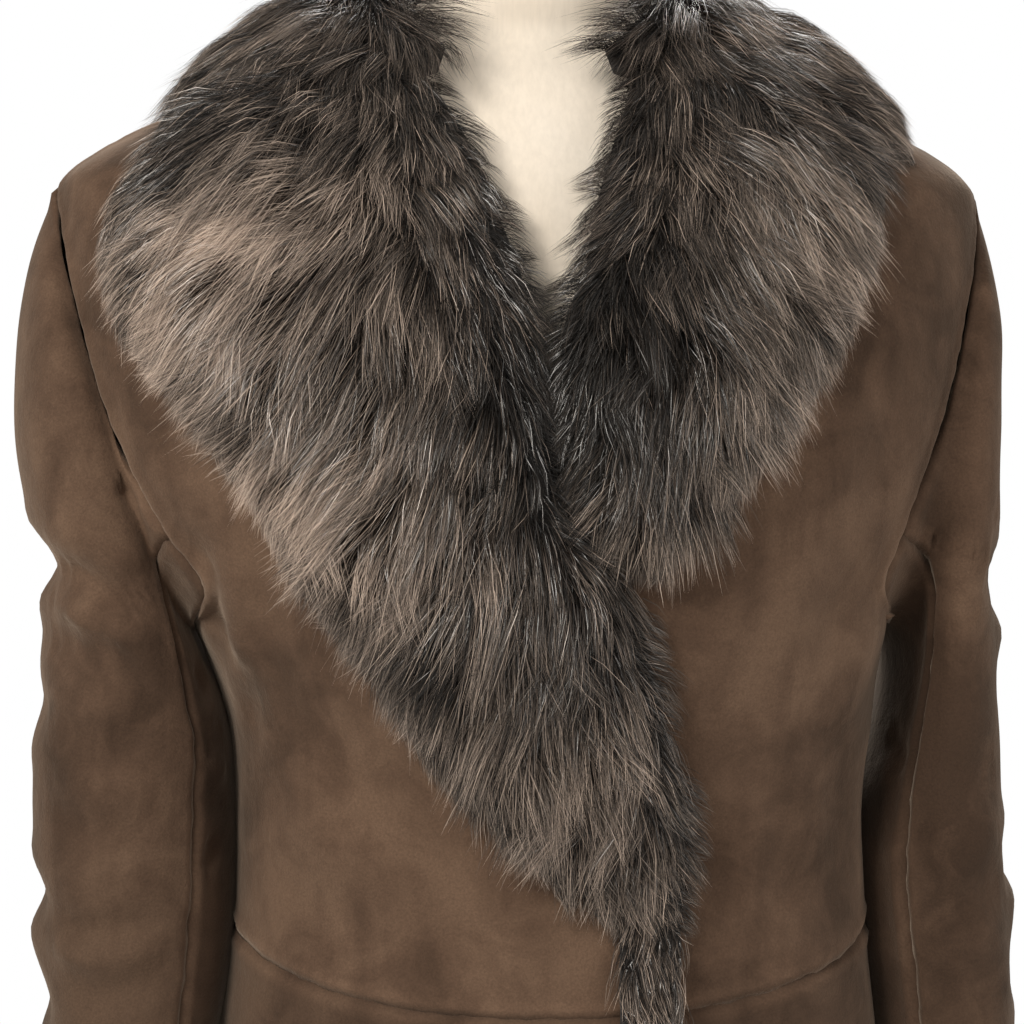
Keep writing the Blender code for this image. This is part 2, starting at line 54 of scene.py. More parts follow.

# %% [markdown]
# The coat is seen as a close-up of the chest, from just above the middle of the front and a little to the
# wearer's right. A camera about a long step away, with a portrait lens, gives the same mild perspective.
# It is aimed straight from its azimuth and elevation, so that no constraint is left on it.

# %% Camera
AZIMUTH = math.radians(-5.0)
ELEVATION = math.radians(2.0)
DISTANCE = 1.4
FRAME_WIDTH = 0.5018
AIM_ACROSS = -0.0039
AIM_HEIGHT = 1.202
SENSOR = 36.0

right = Vector((math.cos(AZIMUTH), math.sin(AZIMUTH), 0))
back = Vector((math.sin(AZIMUTH) * math.cos(ELEVATION), -math.cos(AZIMUTH) * math.cos(ELEVATION),
               math.sin(ELEVATION)))
camera = bpy.data.objects.new("camera", bpy.data.cameras.new("camera"))
scene.collection.objects.link(camera)
camera.data.sensor_width = SENSOR
camera.data.lens = SENSOR * DISTANCE / FRAME_WIDTH
aim = Vector((0, 0, AIM_HEIGHT)) + right * AIM_ACROSS
turned = Matrix((right, back.cross(right), back)).transposed().to_4x4()
camera.matrix_world = Matrix.Translation(aim + back * DISTANCE) @ turned
scene.camera = camera
print("camera at", tuple(round(v, 3) for v in camera.location), "lens", round(camera.data.lens, 1), "mm")

# %% [markdown]
# The light is a plain soft studio: a white room, a large key lamp up on the left in front, a weaker fill on
# the right, and a strip from above and behind that catches the tips of the fur. The backdrop is white only
# where the camera looks at it, so that it does not wash the suede out.

# %% Studio
BACKDROP = 1.0
ROOM_LIGHT = 0.36
scene.view_settings.view_transform = "Standard"
world = bpy.data.worlds.new("studio")
scene.world = world
world.use_nodes = True
sky = world.node_tree.nodes
sky.clear()
looked_at = sky.new("ShaderNodeLightPath")
room = sky.new("ShaderNodeBackground")
room.inputs["Color"].default_value = (1.0, 0.97, 0.93, 1)
room.inputs["Strength"].default_value = ROOM_LIGHT
paper = sky.new("ShaderNodeBackground")
paper.inputs["Color"].default_value = (1, 1, 1, 1)
paper.inputs["Strength"].default_value = BACKDROP
choose = sky.new("ShaderNodeMixShader")
world.node_tree.links.new(looked_at.outputs["Is Camera Ray"], choose.inputs[0])
world.node_tree.links.new(room.outputs[0], choose.inputs[1])
world.node_tree.links.new(paper.outputs[0], choose.inputs[2])
world.node_tree.links.new(choose.outputs[0], sky.new("ShaderNodeOutputWorld").inputs["Surface"])


def lamp(name, place, target, size, power, colour):
    """A square soft box that faces its target."""
    light = bpy.data.lights.new(name, "AREA")
    light.shape = "SQUARE"
    light.size = size
    light.energy = power
    light.color = colour
    box = bpy.data.objects.new(name, light)
    scene.collection.objects.link(box)
    box.location = place
    box.rotation_euler = (Vector(target) - Vector(place)).to_track_quat("-Z", "Y").to_euler()


CHEST = (0, -0.05, 1.2)
lamp("key", (-1.15, -1.45, 2.3), (-0.05, -0.05, 1.33), 0.7, 33, (1.0, 0.95, 0.88))
lamp("fill", (1.8, -1.5, 1.7), CHEST, 1.2, 14, (1.0, 0.94, 0.88))
lamp("rim", (0.3, 1.4, 2.6), CHEST, 1.0, 34, (1.0, 0.97, 0.94))

# %% [markdown]
# The floor is a plain pale disc under the stand. It is not part of the coat.

# %% Floor
FLOOR_RADIUS = 2.6
bm = bmesh.new()
bmesh.ops.create_circle(bm, cap_ends=True, segments=64, radius=FLOOR_RADIUS)
mesh = bpy.data.meshes.new("floor")
bm.to_mesh(mesh)
bm.free()
floor = bpy.data.objects.new("floor", mesh)
scene.collection.objects.link(floor)

# %% [markdown]
# Every finish is a small tree of nodes on one Principled shader. This helper adds a node, sets its numbers
# and joins its inputs in one line, so the recipes below stay short enough to read.


# %% A helper for finishes
def new_finish(name, **numbers):
    """A material with one Principled shader, its plain numbers set straight on the shader's sockets."""
    finish = bpy.data.materials.new(name)
    finish.use_nodes = True
    shader = finish.node_tree.nodes["Principled BSDF"]
    for socket, value in numbers.items():
        shader.inputs[socket.replace("_", " ")].default_value = value
    return finish, shader


def node(finish, kind, settings=None, **inputs):
    """A node of that kind, with its settings, and each input either set to a number or joined to a socket."""
    made = finish.node_tree.nodes.new("ShaderNode" + kind)
    for name, value in (settings or {}).items():
        setattr(made, name, value)
    for name, value in inputs.items():
        socket = made.inputs[int(name[1:])] if name[1:].isdigit() else made.inputs[name.replace("_", " ")]
        if isinstance(value, bpy.types.NodeSocket):
            finish.node_tree.links.new(value, socket)
        else:
            socket.default_value = value
    return made


def ramp(finish, source, *stops):
    """A colour ramp through (place, colour) stops, where a colour may be one grey number."""
    made = node(finish, "ValToRGB", _0=source)
    points = made.color_ramp.elements
    while len(points) < len(stops):
        points.new(0.5)
    for point, (place, colour) in zip(points, stops):
        point.position = place
        point.color = (*colour, 1) if hasattr(colour, "__len__") else (colour, colour, colour, 1)
    return made.outputs["Color"]


def pattern(finish, scale, detail=3.0, roughness=0.5, distortion=0.0, stretch=None):
    """Noise in the piece's own metres, with scale the number of blotches in one metre."""
    place = node(finish, "TexCoord").outputs["Object"]
    if stretch:
        place = node(finish, "Mapping", _0=place, Scale=stretch).outputs[0]
    return node(finish, "TexNoise", Vector=place, Scale=scale, Detail=detail, Roughness=roughness,
                Distortion=distortion).outputs["Fac"]


def mixed(finish, share, first, second, blend="MIX"):
    settings = {"data_type": "RGBA", "blend_type": blend}
    return node(finish, "Mix", settings, _0=share, _6=first, _7=second).outputs[2]


def number(finish, operation, first, second):
    return node(finish, "Math", {"operation": operation}, _0=first, _1=second).outputs[0]


# %% [markdown]
# Suede is the flesh side of the skin, sanded to a nap. It has hardly any gloss, but its short fibres catch
# light at the edges, which the sheen lobe gives. Hands leave soft darker and lighter patches where the nap
# lies one way or the other, so three sizes of noise are mixed: hand-sized, thumb-sized and fine grain.

# %% Suede
SUEDE_DARK = (0.064, 0.038, 0.0245)
SUEDE_MAIN = (0.110, 0.066, 0.043)
SUEDE_PALE = (0.158, 0.098, 0.064)


def suede_finish(name, painted_shade=1.0, low_painted_shade=1.0):
    """The coat's suede. Factors below one paint shade on all of it, and lower down towards the cuffs."""
    finish, shader = new_finish(name, Roughness=0.93, Sheen_Weight=0.28, Sheen_Roughness=0.42,
                                Sheen_Tint=(0.95, 0.78, 0.62, 1), Specular_IOR_Level=0.18)
    dark, main, pale = (tuple(v * painted_shade for v in shade) for shade in (SUEDE_DARK, SUEDE_MAIN, SUEDE_PALE))
    hand = pattern(finish, 6.5, detail=4, roughness=0.55, distortion=0.6)
    thumb = pattern(finish, 31, detail=3, roughness=0.6, distortion=0.9)
    strokes = pattern(finish, 22, detail=3, roughness=0.6, distortion=0.4, stretch=(1.0, 1.0, 0.28))
    patches = number(finish, "ADD", number(finish, "MULTIPLY", hand, 0.52),
                     number(finish, "ADD", number(finish, "MULTIPLY", thumb, 0.22),
                            number(finish, "MULTIPLY", strokes, 0.26)))
    colour = ramp(finish, patches, (0.42, dark), (0.50, main), (0.58, pale))
    grain = pattern(finish, 900, detail=2, roughness=0.7)
    colour = mixed(finish, 0.30, colour, ramp(finish, grain, (0.30, 0.42), (0.72, 1.5)), "MULTIPLY")
    # Along a seam the suede is darker right at the join, and lighter over the welt beside it as a painted
    # highlight.
    seam = node(finish, "Attribute", {"attribute_name": "seam"}).outputs["Fac"]
    seam_dark_and_welt_highlight = ramp(finish, seam, (0.0, 0.86), (0.10, 1.10), (0.34, 1.30), (0.70, 1.0))
    colour = mixed(finish, 0.85, colour, seam_dark_and_welt_highlight, "MULTIPLY")
    # Painted shade: the suede is darkened below about 1.12 m, and fully below 0.98 m, towards the cuffs.
    if low_painted_shade != 1:
        height = node(finish, "SeparateXYZ", _0=node(finish, "TexCoord").outputs["Object"]).outputs[2]
        fade = ramp(finish, number(finish, "MULTIPLY", height, 0.6), (0.590, low_painted_shade), (0.670, 1.0))
        colour = mixed(finish, 1.0, colour, fade, "MULTIPLY")
    finish.node_tree.links.new(colour, shader.inputs["Base Color"])
    nap = node(finish, "Bump", Strength=0.42, Distance=0.0006, Height=grain)
    pebbles = pattern(finish, 150, detail=4, roughness=0.62)
    pebble = node(finish, "Bump", Strength=0.30, Distance=0.0022, Height=pebbles, Normal=nap.outputs[0])
    finish.node_tree.links.new(pebble.outputs[0], shader.inputs["Normal"])
    return finish


# The darker copies are painted shade: the under-sleeves and the skirt are darkened all over, and the sleeves
# lower down towards the cuffs.
SUEDE = suede_finish("suede")
SUEDE_UNDER_SHADED = suede_finish("suede_under_arm_painted_shade", 0.74)
SUEDE_SKIRT_SHADED = suede_finish("suede_skirt_painted_shade", 0.76)
SUEDE_SLEEVE_SHADED = suede_finish("suede_sleeve_painted_shade", 0.98, low_painted_shade=0.70)
print("suede finishes:", SUEDE.name, SUEDE_UNDER_SHADED.name, SUEDE_SKIRT_SHADED.name, SUEDE_SLEEVE_SHADED.name)

# %% [markdown]
# The fur's colour changes from root to tip: nearly black where the wool is dense, brown in the middle and
# pale and glossy at the ends. Each hair carries two numbers in a colour attribute, how far along it a point
# is and how pale that hair is, so one material serves every hair. That paleness also carries painted
# highlights and painted shade on the front of the fur. Hair shines along its length, so the gloss is fairly
# tight and there is little sheen.

# %% Fur and pelt
HAIR_ROOT = (0.010, 0.0075, 0.0060)
HAIR_MIDDLE = (0.038, 0.027, 0.020)
HAIR_TIP = (0.375, 0.300, 0.247)


def hair_finish():
    finish, shader = new_finish("fur_hair", Roughness=0.26, Specular_IOR_Level=0.62,
                                Sheen_Weight=0.10, Sheen_Roughness=0.35)
    along = node(finish, "Attribute", {"attribute_name": "hair"})
    parts = node(finish, "SeparateColor", _0=along.outputs["Color"])
    colour = ramp(finish, parts.outputs[0], (0.0, HAIR_ROOT), (0.42, HAIR_MIDDLE), (1.0, HAIR_TIP))
    shade = ramp(finish, parts.outputs[1], (0.0, 0.07), (0.40, 0.55), (0.75, 1.5), (1.0, 3.0))
    finish.node_tree.links.new(mixed(finish, 1.0, colour, shade, "MULTIPLY"), shader.inputs["Base Color"])
    return finish


def pelt_finish():
    finish, shader = new_finish("fur_pelt", Roughness=0.85, Sheen_Weight=0.12, Sheen_Roughness=0.5)
    wool = pattern(finish, 260, detail=5, roughness=0.7, distortion=1.5)
    colour = ramp(finish, wool, (0.25, (0.006, 0.0045, 0.004)), (0.75, (0.034, 0.025, 0.020)))
    finish.node_tree.links.new(colour, shader.inputs["Base Color"])
    bump = node(finish, "Bump", Strength=1.0, Distance=0.003, Height=wool)
    finish.node_tree.links.new(bump.outputs[0], shader.inputs["Normal"])
    return finish


HAIR = hair_finish()
PELT = pelt_finish()

# %% [markdown]
# The form is covered in fine cream jersey, which is matt with a faint vertical rib, and stands on brushed
# steel. The floor is a pale matt paper.


# %% Jersey, steel and paper
def jersey_finish():
    finish, shader = new_finish("cream_jersey", Roughness=0.9, Sheen_Weight=0.25, Sheen_Roughness=0.5)
    cloud = pattern(finish, 9, detail=3, distortion=0.5)
    rib = pattern(finish, 420, detail=2, roughness=0.6, stretch=(1.0, 1.0, 0.12))
    colour = ramp(finish, cloud, (0.3, (0.86, 0.76, 0.63)), (0.7, (0.93, 0.85, 0.74)))
    colour = mixed(finish, 0.22, colour, ramp(finish, rib, (0.3, 0.78), (0.7, 1.12)), "MULTIPLY")
    finish.node_tree.links.new(colour, shader.inputs["Base Color"])
    bump = node(finish, "Bump", Strength=0.25, Distance=0.0005, Height=rib)
    finish.node_tree.links.new(bump.outputs[0], shader.inputs["Normal"])
    return finish


def steel_finish():
    finish, shader = new_finish("brushed_steel", Metallic=1.0)
    brushed = pattern(finish, 60, detail=4, roughness=0.7, stretch=(1.0, 1.0, 14.0))
    colour = ramp(finish, brushed, (0.2, (0.36, 0.36, 0.37)), (0.8, (0.58, 0.57, 0.56)))
    finish.node_tree.links.new(colour, shader.inputs["Base Color"])
    gloss = ramp(finish, brushed, (0.2, 0.26), (0.8, 0.42))
    finish.node_tree.links.new(gloss, shader.inputs["Roughness"])
    return finish


def paper_finish():
    finish, shader = new_finish("pale_paper", Roughness=0.95)
    colour = ramp(finish, pattern(finish, 3), (0.2, (0.80, 0.79, 0.77)), (0.8, (0.84, 0.83, 0.81)))
    finish.node_tree.links.new(colour, shader.inputs["Base Color"])
    return finish


JERSEY = jersey_finish()
STEEL = steel_finish()
floor.data.materials.append(paper_finish())
for name in ("form_pole", "form_base"):
    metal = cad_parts[name]
    metal.data.materials.clear()
    metal.data.materials.append(STEEL)

# %% [markdown]
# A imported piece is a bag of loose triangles, but each cloth panel and fur piece was made as a net: rows that
# go up and columns that turn with the body, once for its outer skin and once for its inner one. Reading the
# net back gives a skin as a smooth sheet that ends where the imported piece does, so seams still meet.
# The copy is merged, its skins are found, and the net is walked from a corner, cell by cell.

# %% Read a piece back as a net
MERGE = 1e-5
# A face with a side no longer than RIM belongs to a panel's rim, and a wall is thinner than WALL_LOOK.
RIM = 0.00506
WALL_LOOK = 0.0048
NETS = {"bodice_front": (21, 13), "bodice_back": (21, 22), "skirt_front": (9, 13), "skirt_back": (9, 22),
        "sleeve_upper": (17, 14), "sleeve_under": (17, 6), "lapel_fur": (16, 9), "collar_fur": (7, 32),
        "edge_fur": (12, 3)}


def merged(name):
    """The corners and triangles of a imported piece, with its corners merged in a copy."""
    bm = bmesh.new()
    bm.from_mesh(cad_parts[name].data)
    bmesh.ops.remove_doubles(bm, verts=bm.verts, dist=MERGE)
    bm.verts.index_update()
    points = np.array([vert.co for vert in bm.verts])
    faces = [[vert.index for vert in face.verts] for face in bm.faces]
    bm.free()
    return points, faces


def tree_of(points, faces):
    return BVHTree.FromPolygons([Vector(point) for point in points], faces)


def groups(faces):
    """The faces in groups that share edges, the largest first."""
    at, left = {}, set(range(len(faces)))
    for index, face in enumerate(faces):
        for pair in zip(face, face[1:] + face[:1]):
            at.setdefault(frozenset(pair), []).append(index)
    found = []
    while left:
        front, group = [left.pop()], []
        while front:
            face = faces[front.pop()]
            group.append(face)
            near = {other for pair in zip(face, face[1:] + face[:1]) for other in at[frozenset(pair)]}
            near &= left
            left -= near
            front += near
        found.append(group)
    return sorted(found, key=len, reverse=True)


def cloth_skins(points, faces, rows, columns):
    """Both skins of a thin panel, the larger first."""
    corners = points[faces]
    shortest = np.linalg.norm(corners - np.roll(corners, 1, axis=1), axis=2).min(1)
    kept = [face for face, side in zip(faces, shortest) if side > RIM]
    if len(faces) - len(kept) != 4 * (rows + columns):
        # Some cells are as small as the wall is thick, so what counts is whether another skin lies behind.
        tree = tree_of(points, faces)
        kept = []
        for face, (a, b, c) in zip(faces, corners):
            normal = Vector(np.cross(b - a, c - a)).normalized()
            gap = tree.ray_cast(Vector((a + b + c) / 3) - normal * MERGE, -normal)[3]
            if gap is not None and gap < WALL_LOOK:
                kept.append(face)
    skins = groups(kept)[:2]
    uses = [collections.Counter(corner for face in skin for corner in face) for skin in skins]
    skins = [[face for face in skin if all(uses[k][corner] >= uses[1 - k][corner] for corner in face)]
             for k, skin in enumerate(skins)]
    corners = [points[skin] for skin in skins]
    flat = [np.cross(three[:, 1] - three[:, 0], three[:, 2] - three[:, 0]) for three in corners]
    area = [np.linalg.norm(crossed, axis=1).sum() for crossed in flat]
    return skins if area[0] > area[1] else skins[::-1]


def fur_skins(points, faces, core, wanted):
    """Both skins of a fur piece, the outer one first: its corners face away from a core inside the coat."""
    corners = points[faces]
    flat = np.cross(corners[:, 1] - corners[:, 0], corners[:, 2] - corners[:, 0])
    flat /= np.linalg.norm(flat, axis=1, keepdims=True)
    normal = np.zeros_like(points)
    for k in range(3):
        one, two = corners[:, (k + 1) % 3] - corners[:, k], corners[:, (k + 2) % 3] - corners[:, k]
        turn = (one * two).sum(1) / np.linalg.norm(one, axis=1) / np.linalg.norm(two, axis=1)
        np.add.at(normal, np.array(faces)[:, k], flat * np.arccos(np.clip(turn, -1, 1))[:, None])
    out = points - core
    if core[2] == 0:
        out[:, 2] = 0
    facing = (normal * out).sum(1) / np.linalg.norm(normal, axis=1) / np.linalg.norm(out, axis=1)
    high = set(np.argsort(facing)[-wanted:].tolist())
    return [face for face in faces if high >= set(face)], [face for face in faces if not high & set(face)]


def walked(ring, third, rows, columns):
    """The net that starts at the ring's first corner, or None where the faces do not fit one."""
    net = np.full((rows + 1, columns + 1), -1)
    net[0] = ring[:columns + 1]
    net[:, 0] = [ring[0]] + ring[:columns * 2 + rows - 1:-1]
    for row in range(rows):
        for column in range(columns):
            a, b, c = net[row, column], net[row, column + 1], net[row + 1, column]
            d = third.get((a, b))
            if d == c:
                d = third.get((c, b))
            elif d is None or third.get((a, d)) != c:
                return None
            if d is None:
                return None
            net[row + 1, column + 1] = d
    whole = (net[:, -1] == ring[columns:columns + rows + 1]).all()
    return net if whole and (net[-1, ::-1] == ring[columns + rows:2 * columns + rows + 1]).all() else None


def rows_and_columns(name):
    return next(size for start, size in NETS.items() if name.startswith(start))


def net_of(name, points, faces):
    """The skin's corners by row and column, with the lowest row first."""
    rows, columns = rows_and_columns(name)
    third = {}
    for a, b, c in faces:
        third.update({(a, b): c, (b, c): a, (c, a): b})
    after = {a: b for a, b in third if (b, a) not in third}
    ring = [next(iter(after))]
    while len(ring) < len(after):
        ring.append(after[ring[-1]])
    assert len(ring) == 2 * (rows + columns), f"{name}: its edge has {len(ring)} corners"
    found = [walked(ring[k:] + ring[:k], third, rows, columns) for k in range(len(ring))]
    found = [net for net in found if net is not None]
    assert found, f"{name}: no net of {rows} by {columns} in {len(faces)} faces"
    return points[min(found, key=lambda net: points[net[0], 2].mean())]


# %% [markdown]
# Between the net's corners the sheet follows a cubic curve each way. Its corners are spaced unevenly, so
# each curve is measured by its length and not by counting corners, which would make it overshoot.

# %% Smooth sheets through a net
def knots(net):
    """How far along the rows each one lies, from 0 to 1, as an average over the columns."""
    steps = np.linalg.norm(np.diff(net, axis=0), axis=2).mean(1)
    return np.concatenate([[0], np.cumsum(steps)]) / steps.sum()


def along_rows(net, at, places):
    """The net at new places between its rows."""
    gap = np.diff(at)[:, None, None]
    slope = np.diff(net, axis=0) / gap
    bend = np.empty_like(net)
    bend[1:-1] = (slope[:-1] * gap[1:] + slope[1:] * gap[:-1]) / (gap[1:] + gap[:-1])
    bend[0], bend[-1] = 1.5 * slope[0] - 0.5 * bend[1], 1.5 * slope[-1] - 0.5 * bend[-2]
    row = np.clip(np.searchsorted(at, places, side="right") - 1, 0, len(gap) - 1)
    t = ((places - at[row]) / np.diff(at)[row])[:, None, None]
    near, far = net[row], net[row + 1]
    return (near * (1 + 2 * t) * (1 - t) ** 2 + far * t * t * (3 - 2 * t)
            + gap[row] * (bend[row] * t * (1 - t) ** 2 - bend[row + 1] * t * t * (1 - t)))


def sheet_of(net, rows, columns, like=None):
    """The net as a fine sheet of that many rows and columns, spaced as another net is."""
    like = net if like is None else like
    tall = along_rows(net, knots(like), np.linspace(0, 1, rows + 1))
    wide = along_rows(tall.swapaxes(0, 1), knots(like.swapaxes(0, 1)), np.linspace(0, 1, columns + 1))
    return wide.swapaxes(0, 1)


def cells(net, size):
    """How many rows and columns give cells of about that size."""
    tall = np.linalg.norm(np.diff(net, axis=0), axis=2).sum(0).mean()
    wide = np.linalg.norm(np.diff(net, axis=1), axis=2).sum(1).mean()
    return max(4, round(tall / size)), max(3, round(wide / size))


def normals_of(sheet):
    """The sheet's unit normals, pointing out of the coat."""
    normal = np.cross(np.gradient(sheet, axis=1), np.gradient(sheet, axis=0))
    return normal / np.linalg.norm(normal, axis=2, keepdims=True)


def add_grid(bm, sheet):
    """A bmesh grid laid on the sheet. It gives the new corners by row and column."""
    rows, columns = sheet.shape[0] - 1, sheet.shape[1] - 1
    made = bmesh.ops.create_grid(bm, x_segments=columns, y_segments=rows, size=1)["verts"]
    corners = np.empty((rows + 1, columns + 1), object)
    for vert in made:
        row, column = round((vert.co.y + 1) / 2 * rows), round((vert.co.x + 1) / 2 * columns)
        corners[row, column] = vert
        vert.co = sheet[row, column]
    return corners


def new_piece(bm, name, finish):
    """The bmesh as a smooth object of the coat, riding on its one body."""
    mesh = bpy.data.meshes.new(name)
    bm.to_mesh(mesh)
    bm.free()
    mesh.materials.append(finish)
    mesh.shade_smooth()
    body = bpy.data.objects.new(name, mesh)
    scene.collection.objects.link(body)
    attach(body, "root")
    return body


skins = {}
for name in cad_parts:
    if name.startswith(("bodice", "skirt", "sleeve")):
        points, faces = merged(name)
        outer, inner = cloth_skins(points, faces, *rows_and_columns(name))
        skins[name] = net_of(name, points, outer)
        print(name, "net", skins[name].shape[:2], "of", len(outer), "and", len(inner), "faces")

# %% [markdown]
# Leather creases in few, soft, uneven folds. Each one is a line that is drawn on one side of the coat, in
# millimetres across and up as seen from that side, and pressed on the panel. A trough has a low ridge at
# both of its sides, as when the skin is pushed together, and every line fades out at its two ends.

# %% The crease tables
# side, half width, depth below zero or height above it, then the points across and up, all in millimetres.
CREASES = {
    "sleeve_upper_right": (
        ("front", 9, -5.5, (-232, 1180), (-214, 1175), (-196, 1166), (-176, 1163)),
        ("front", 10, 3.0, (-232, 1163), (-215, 1158), (-199, 1152)),
        ("front", 11, -2.4, (-230, 1146), (-205, 1138), (-180, 1140)),
        ("front", 8, -3.4, (-190, 1222), (-177, 1206), (-168, 1190), (-160, 1176)),
        ("front", 12, -1.8, (-226, 1106), (-200, 1097), (-172, 1102)),
        ("front", 10, 1.6, (-224, 1082), (-198, 1074), (-176, 1078)),
        ("front", 11, -2.0, (-228, 1062), (-206, 1055), (-176, 1060)),
        ("front", 6, -2.6, (-229, 1016), (-210, 1009), (-188, 1011), (-168, 1015)),
        ("front", 9, 1.9, (-228, 1003), (-206, 996), (-178, 999)),
        ("front", 7, -1.9, (-222, 990), (-202, 981), (-180, 986), (-166, 996)),
        ("front", 10, -1.8, (-226, 950), (-203, 941), (-178, 948)),
        ("front", 12, -2.0, (-232, 905), (-210, 896), (-186, 902)),
        ("front", 12, -1.6, (-236, 846), (-214, 838), (-192, 846)),
        ("right", 10, -4.5, (-40, 1176), (-8, 1182), (30, 1172), (58, 1160)),
        ("right", 12, 2.4, (-38, 1158), (0, 1162), (40, 1150)),
        ("right", 11, -3.0, (-46, 1108), (-6, 1114), (40, 1100)),
        ("right", 9, -3.4, (-50, 1016), (-10, 1022), (34, 1008), (56, 1000)),
        ("right", 12, 2.2, (-44, 998), (0, 1002), (44, 990)),
        ("right", 10, -2.6, (-50, 962), (-12, 970), (36, 956)),
        ("right", 12, -2.2, (-56, 884), (-16, 892), (24, 880)),
        ("back", 11, -3.4, (-222, 1150), (-196, 1142), (-172, 1150)),
        ("back", 10, -3.0, (-226, 1040), (-200, 1030), (-172, 1040)),
        ("back", 12, -2.2, (-226, 960), (-200, 952), (-178, 960)),
        ("back", 13, 2.0, (-224, 1090), (-196, 1082), (-170, 1092)),
    ),
    "sleeve_under_right": (
        ("front", 5, -2.4, (-156, 1034), (-150, 1046), (-140, 1052)),
        ("front", 9, -2.4, (-160, 1130), (-148, 1120), (-140, 1122)),
        ("front", 8, 1.8, (-158, 1090), (-148, 1082), (-142, 1084)),
        ("front", 9, -2.0, (-166, 960), (-158, 952), (-150, 956)),
    ),
    "sleeve_upper_left": (
        ("front", 12, -2.6, (190, 1196), (182, 1170), (186, 1140), (184, 1108)),
        ("front", 14, 2.0, (196, 1214), (203, 1176), (205, 1130)),
        ("front", 12, -2.2, (218, 1180), (232, 1172), (240, 1168)),
        ("front", 12, -2.0, (186, 1084), (206, 1076), (232, 1082)),
        ("front", 13, 1.8, (182, 1052), (205, 1046), (230, 1050)),
        ("front", 10, -2.2, (180, 1026), (203, 1016), (232, 1024)),
        ("front", 12, -1.8, (182, 982), (206, 974), (230, 980)),
        ("front", 11, -2.0, (188, 934), (210, 924), (236, 930)),
        ("front", 12, -1.8, (194, 870), (216, 862), (242, 868)),
        ("left", 11, -3.6, (-44, 1160), (-8, 1168), (34, 1158), (58, 1148)),
        ("left", 12, 2.4, (-40, 1140), (2, 1146), (42, 1134)),
        ("left", 10, -3.2, (-48, 1030), (-8, 1036), (36, 1022)),
        ("left", 12, 2.0, (-46, 1008), (0, 1014), (44, 1000)),
        ("left", 10, -2.6, (-50, 976), (-10, 982), (36, 966)),
        ("left", 12, -2.2, (-56, 896), (-14, 902), (26, 890)),
        ("back", 11, -3.2, (222, 1158), (196, 1150), (174, 1158)),
        ("back", 10, -3.0, (228, 1050), (202, 1040), (176, 1050)),
        ("back", 12, -2.2, (230, 968), (204, 960), (182, 968)),
    ),
    "sleeve_under_left": (
        ("front", 7, 2.0, (178, 1060), (180, 1020), (183, 985)),
        ("front", 7, -1.8, (180, 1122), (182, 1100), (184, 1078)),
    ),
    "bodice_front_right": (
        ("front", 10, -2.8, (-160, 1200), (-152, 1180), (-146, 1150), (-141, 1122)),
        ("front", 12, 2.6, (-148, 1196), (-141, 1166), (-135, 1132), (-131, 1108)),
        ("front", 9, -2.6, (-136, 1142), (-132, 1120), (-134, 1102)),
        ("front", 16, -1.6, (-112, 1120), (-84, 1086), (-58, 1062)),
        ("front", 18, 1.6, (-118, 1076), (-90, 1052), (-60, 1034)),
        ("front", 16, -1.4, (-122, 1042), (-100, 1022), (-66, 1006)),
        ("front", 18, 1.4, (-40, 1060), (-10, 1034), (20, 1012)),
        ("front", 14, -1.8, (-172, 1270), (-164, 1240), (-160, 1214)),
        ("front", 22, -1.6, (-132, 1210), (-112, 1180), (-96, 1150)),
    ),
    "bodice_front_left": (
        ("front", 12, -1.8, (88, 1078), (86, 1050), (88, 1020)),
        ("front", 11, -2.2, (112, 1084), (109, 1052), (110, 1016)),
        ("front", 13, 1.8, (99, 1082), (98, 1050), (98, 1018)),
        ("front", 14, 1.6, (126, 1100), (122, 1064), (124, 1026)),
        ("front", 16, -1.8, (154, 1190), (140, 1160), (128, 1128)),
        ("front", 18, 1.8, (162, 1164), (148, 1130), (136, 1098)),
        ("front", 20, -1.4, (110, 1168), (96, 1136), (86, 1104)),
        ("front", 14, -1.6, (168, 1262), (160, 1228), (156, 1200)),
    ),
    "bodice_back": (
        ("back", 14, -2.4, (-150, 1200), (-128, 1166), (-116, 1120)),
        ("back", 14, -2.4, (150, 1204), (130, 1168), (116, 1124)),
        ("back", 18, 2.0, (-132, 1216), (-106, 1180), (-96, 1130)),
        ("back", 18, 2.0, (134, 1220), (108, 1184), (96, 1134)),
        ("back", 20, -2.0, (-70, 1140), (-20, 1128), (44, 1136), (80, 1146)),
        ("back", 16, -2.0, (-96, 1074), (-30, 1060), (40, 1066), (92, 1078)),
        ("back", 18, 1.8, (-80, 1098), (-10, 1088), (70, 1100)),
        ("back", 16, -1.6, (-60, 1042), (0, 1034), (66, 1044)),
        ("back", 22, -1.6, (-60, 1300), (0, 1290), (62, 1302)),
    ),
    "skirt_front_right": (
        ("front", 14, -2.2, (-110, 960), (-122, 900), (-132, 830)),
        ("front", 14, -1.8, (-62, 950), (-70, 890), (-76, 820)),
        ("front", 18, 1.8, (-88, 956), (-98, 880), (-104, 800)),
        ("front", 20, -2.0, (-20, 900), (-28, 780), (-34, 640)),
    ),
    "skirt_front_left": (
        ("front", 13, -2.2, (96, 958), (104, 900), (110, 830)),
        ("front", 14, -2.0, (128, 950), (140, 880), (150, 800)),
        ("front", 18, 1.8, (112, 960), (122, 880), (128, 800)),
        ("front", 20, -1.8, (84, 860), (92, 740), (98, 600)),
    ),
    "skirt_back": (
        ("back", 16, -2.4, (-84, 960), (-92, 880), (-98, 780)),
        ("back", 16, -2.4, (88, 956), (98, 872), (104, 770)),
        ("back", 20, 2.0, (-40, 950), (-46, 850), (-50, 720)),
        ("back", 20, -2.0, (6, 940), (4, 820), (0, 680)),
        ("back", 20, 2.0, (52, 946), (58, 846), (62, 720)),
    ),
}
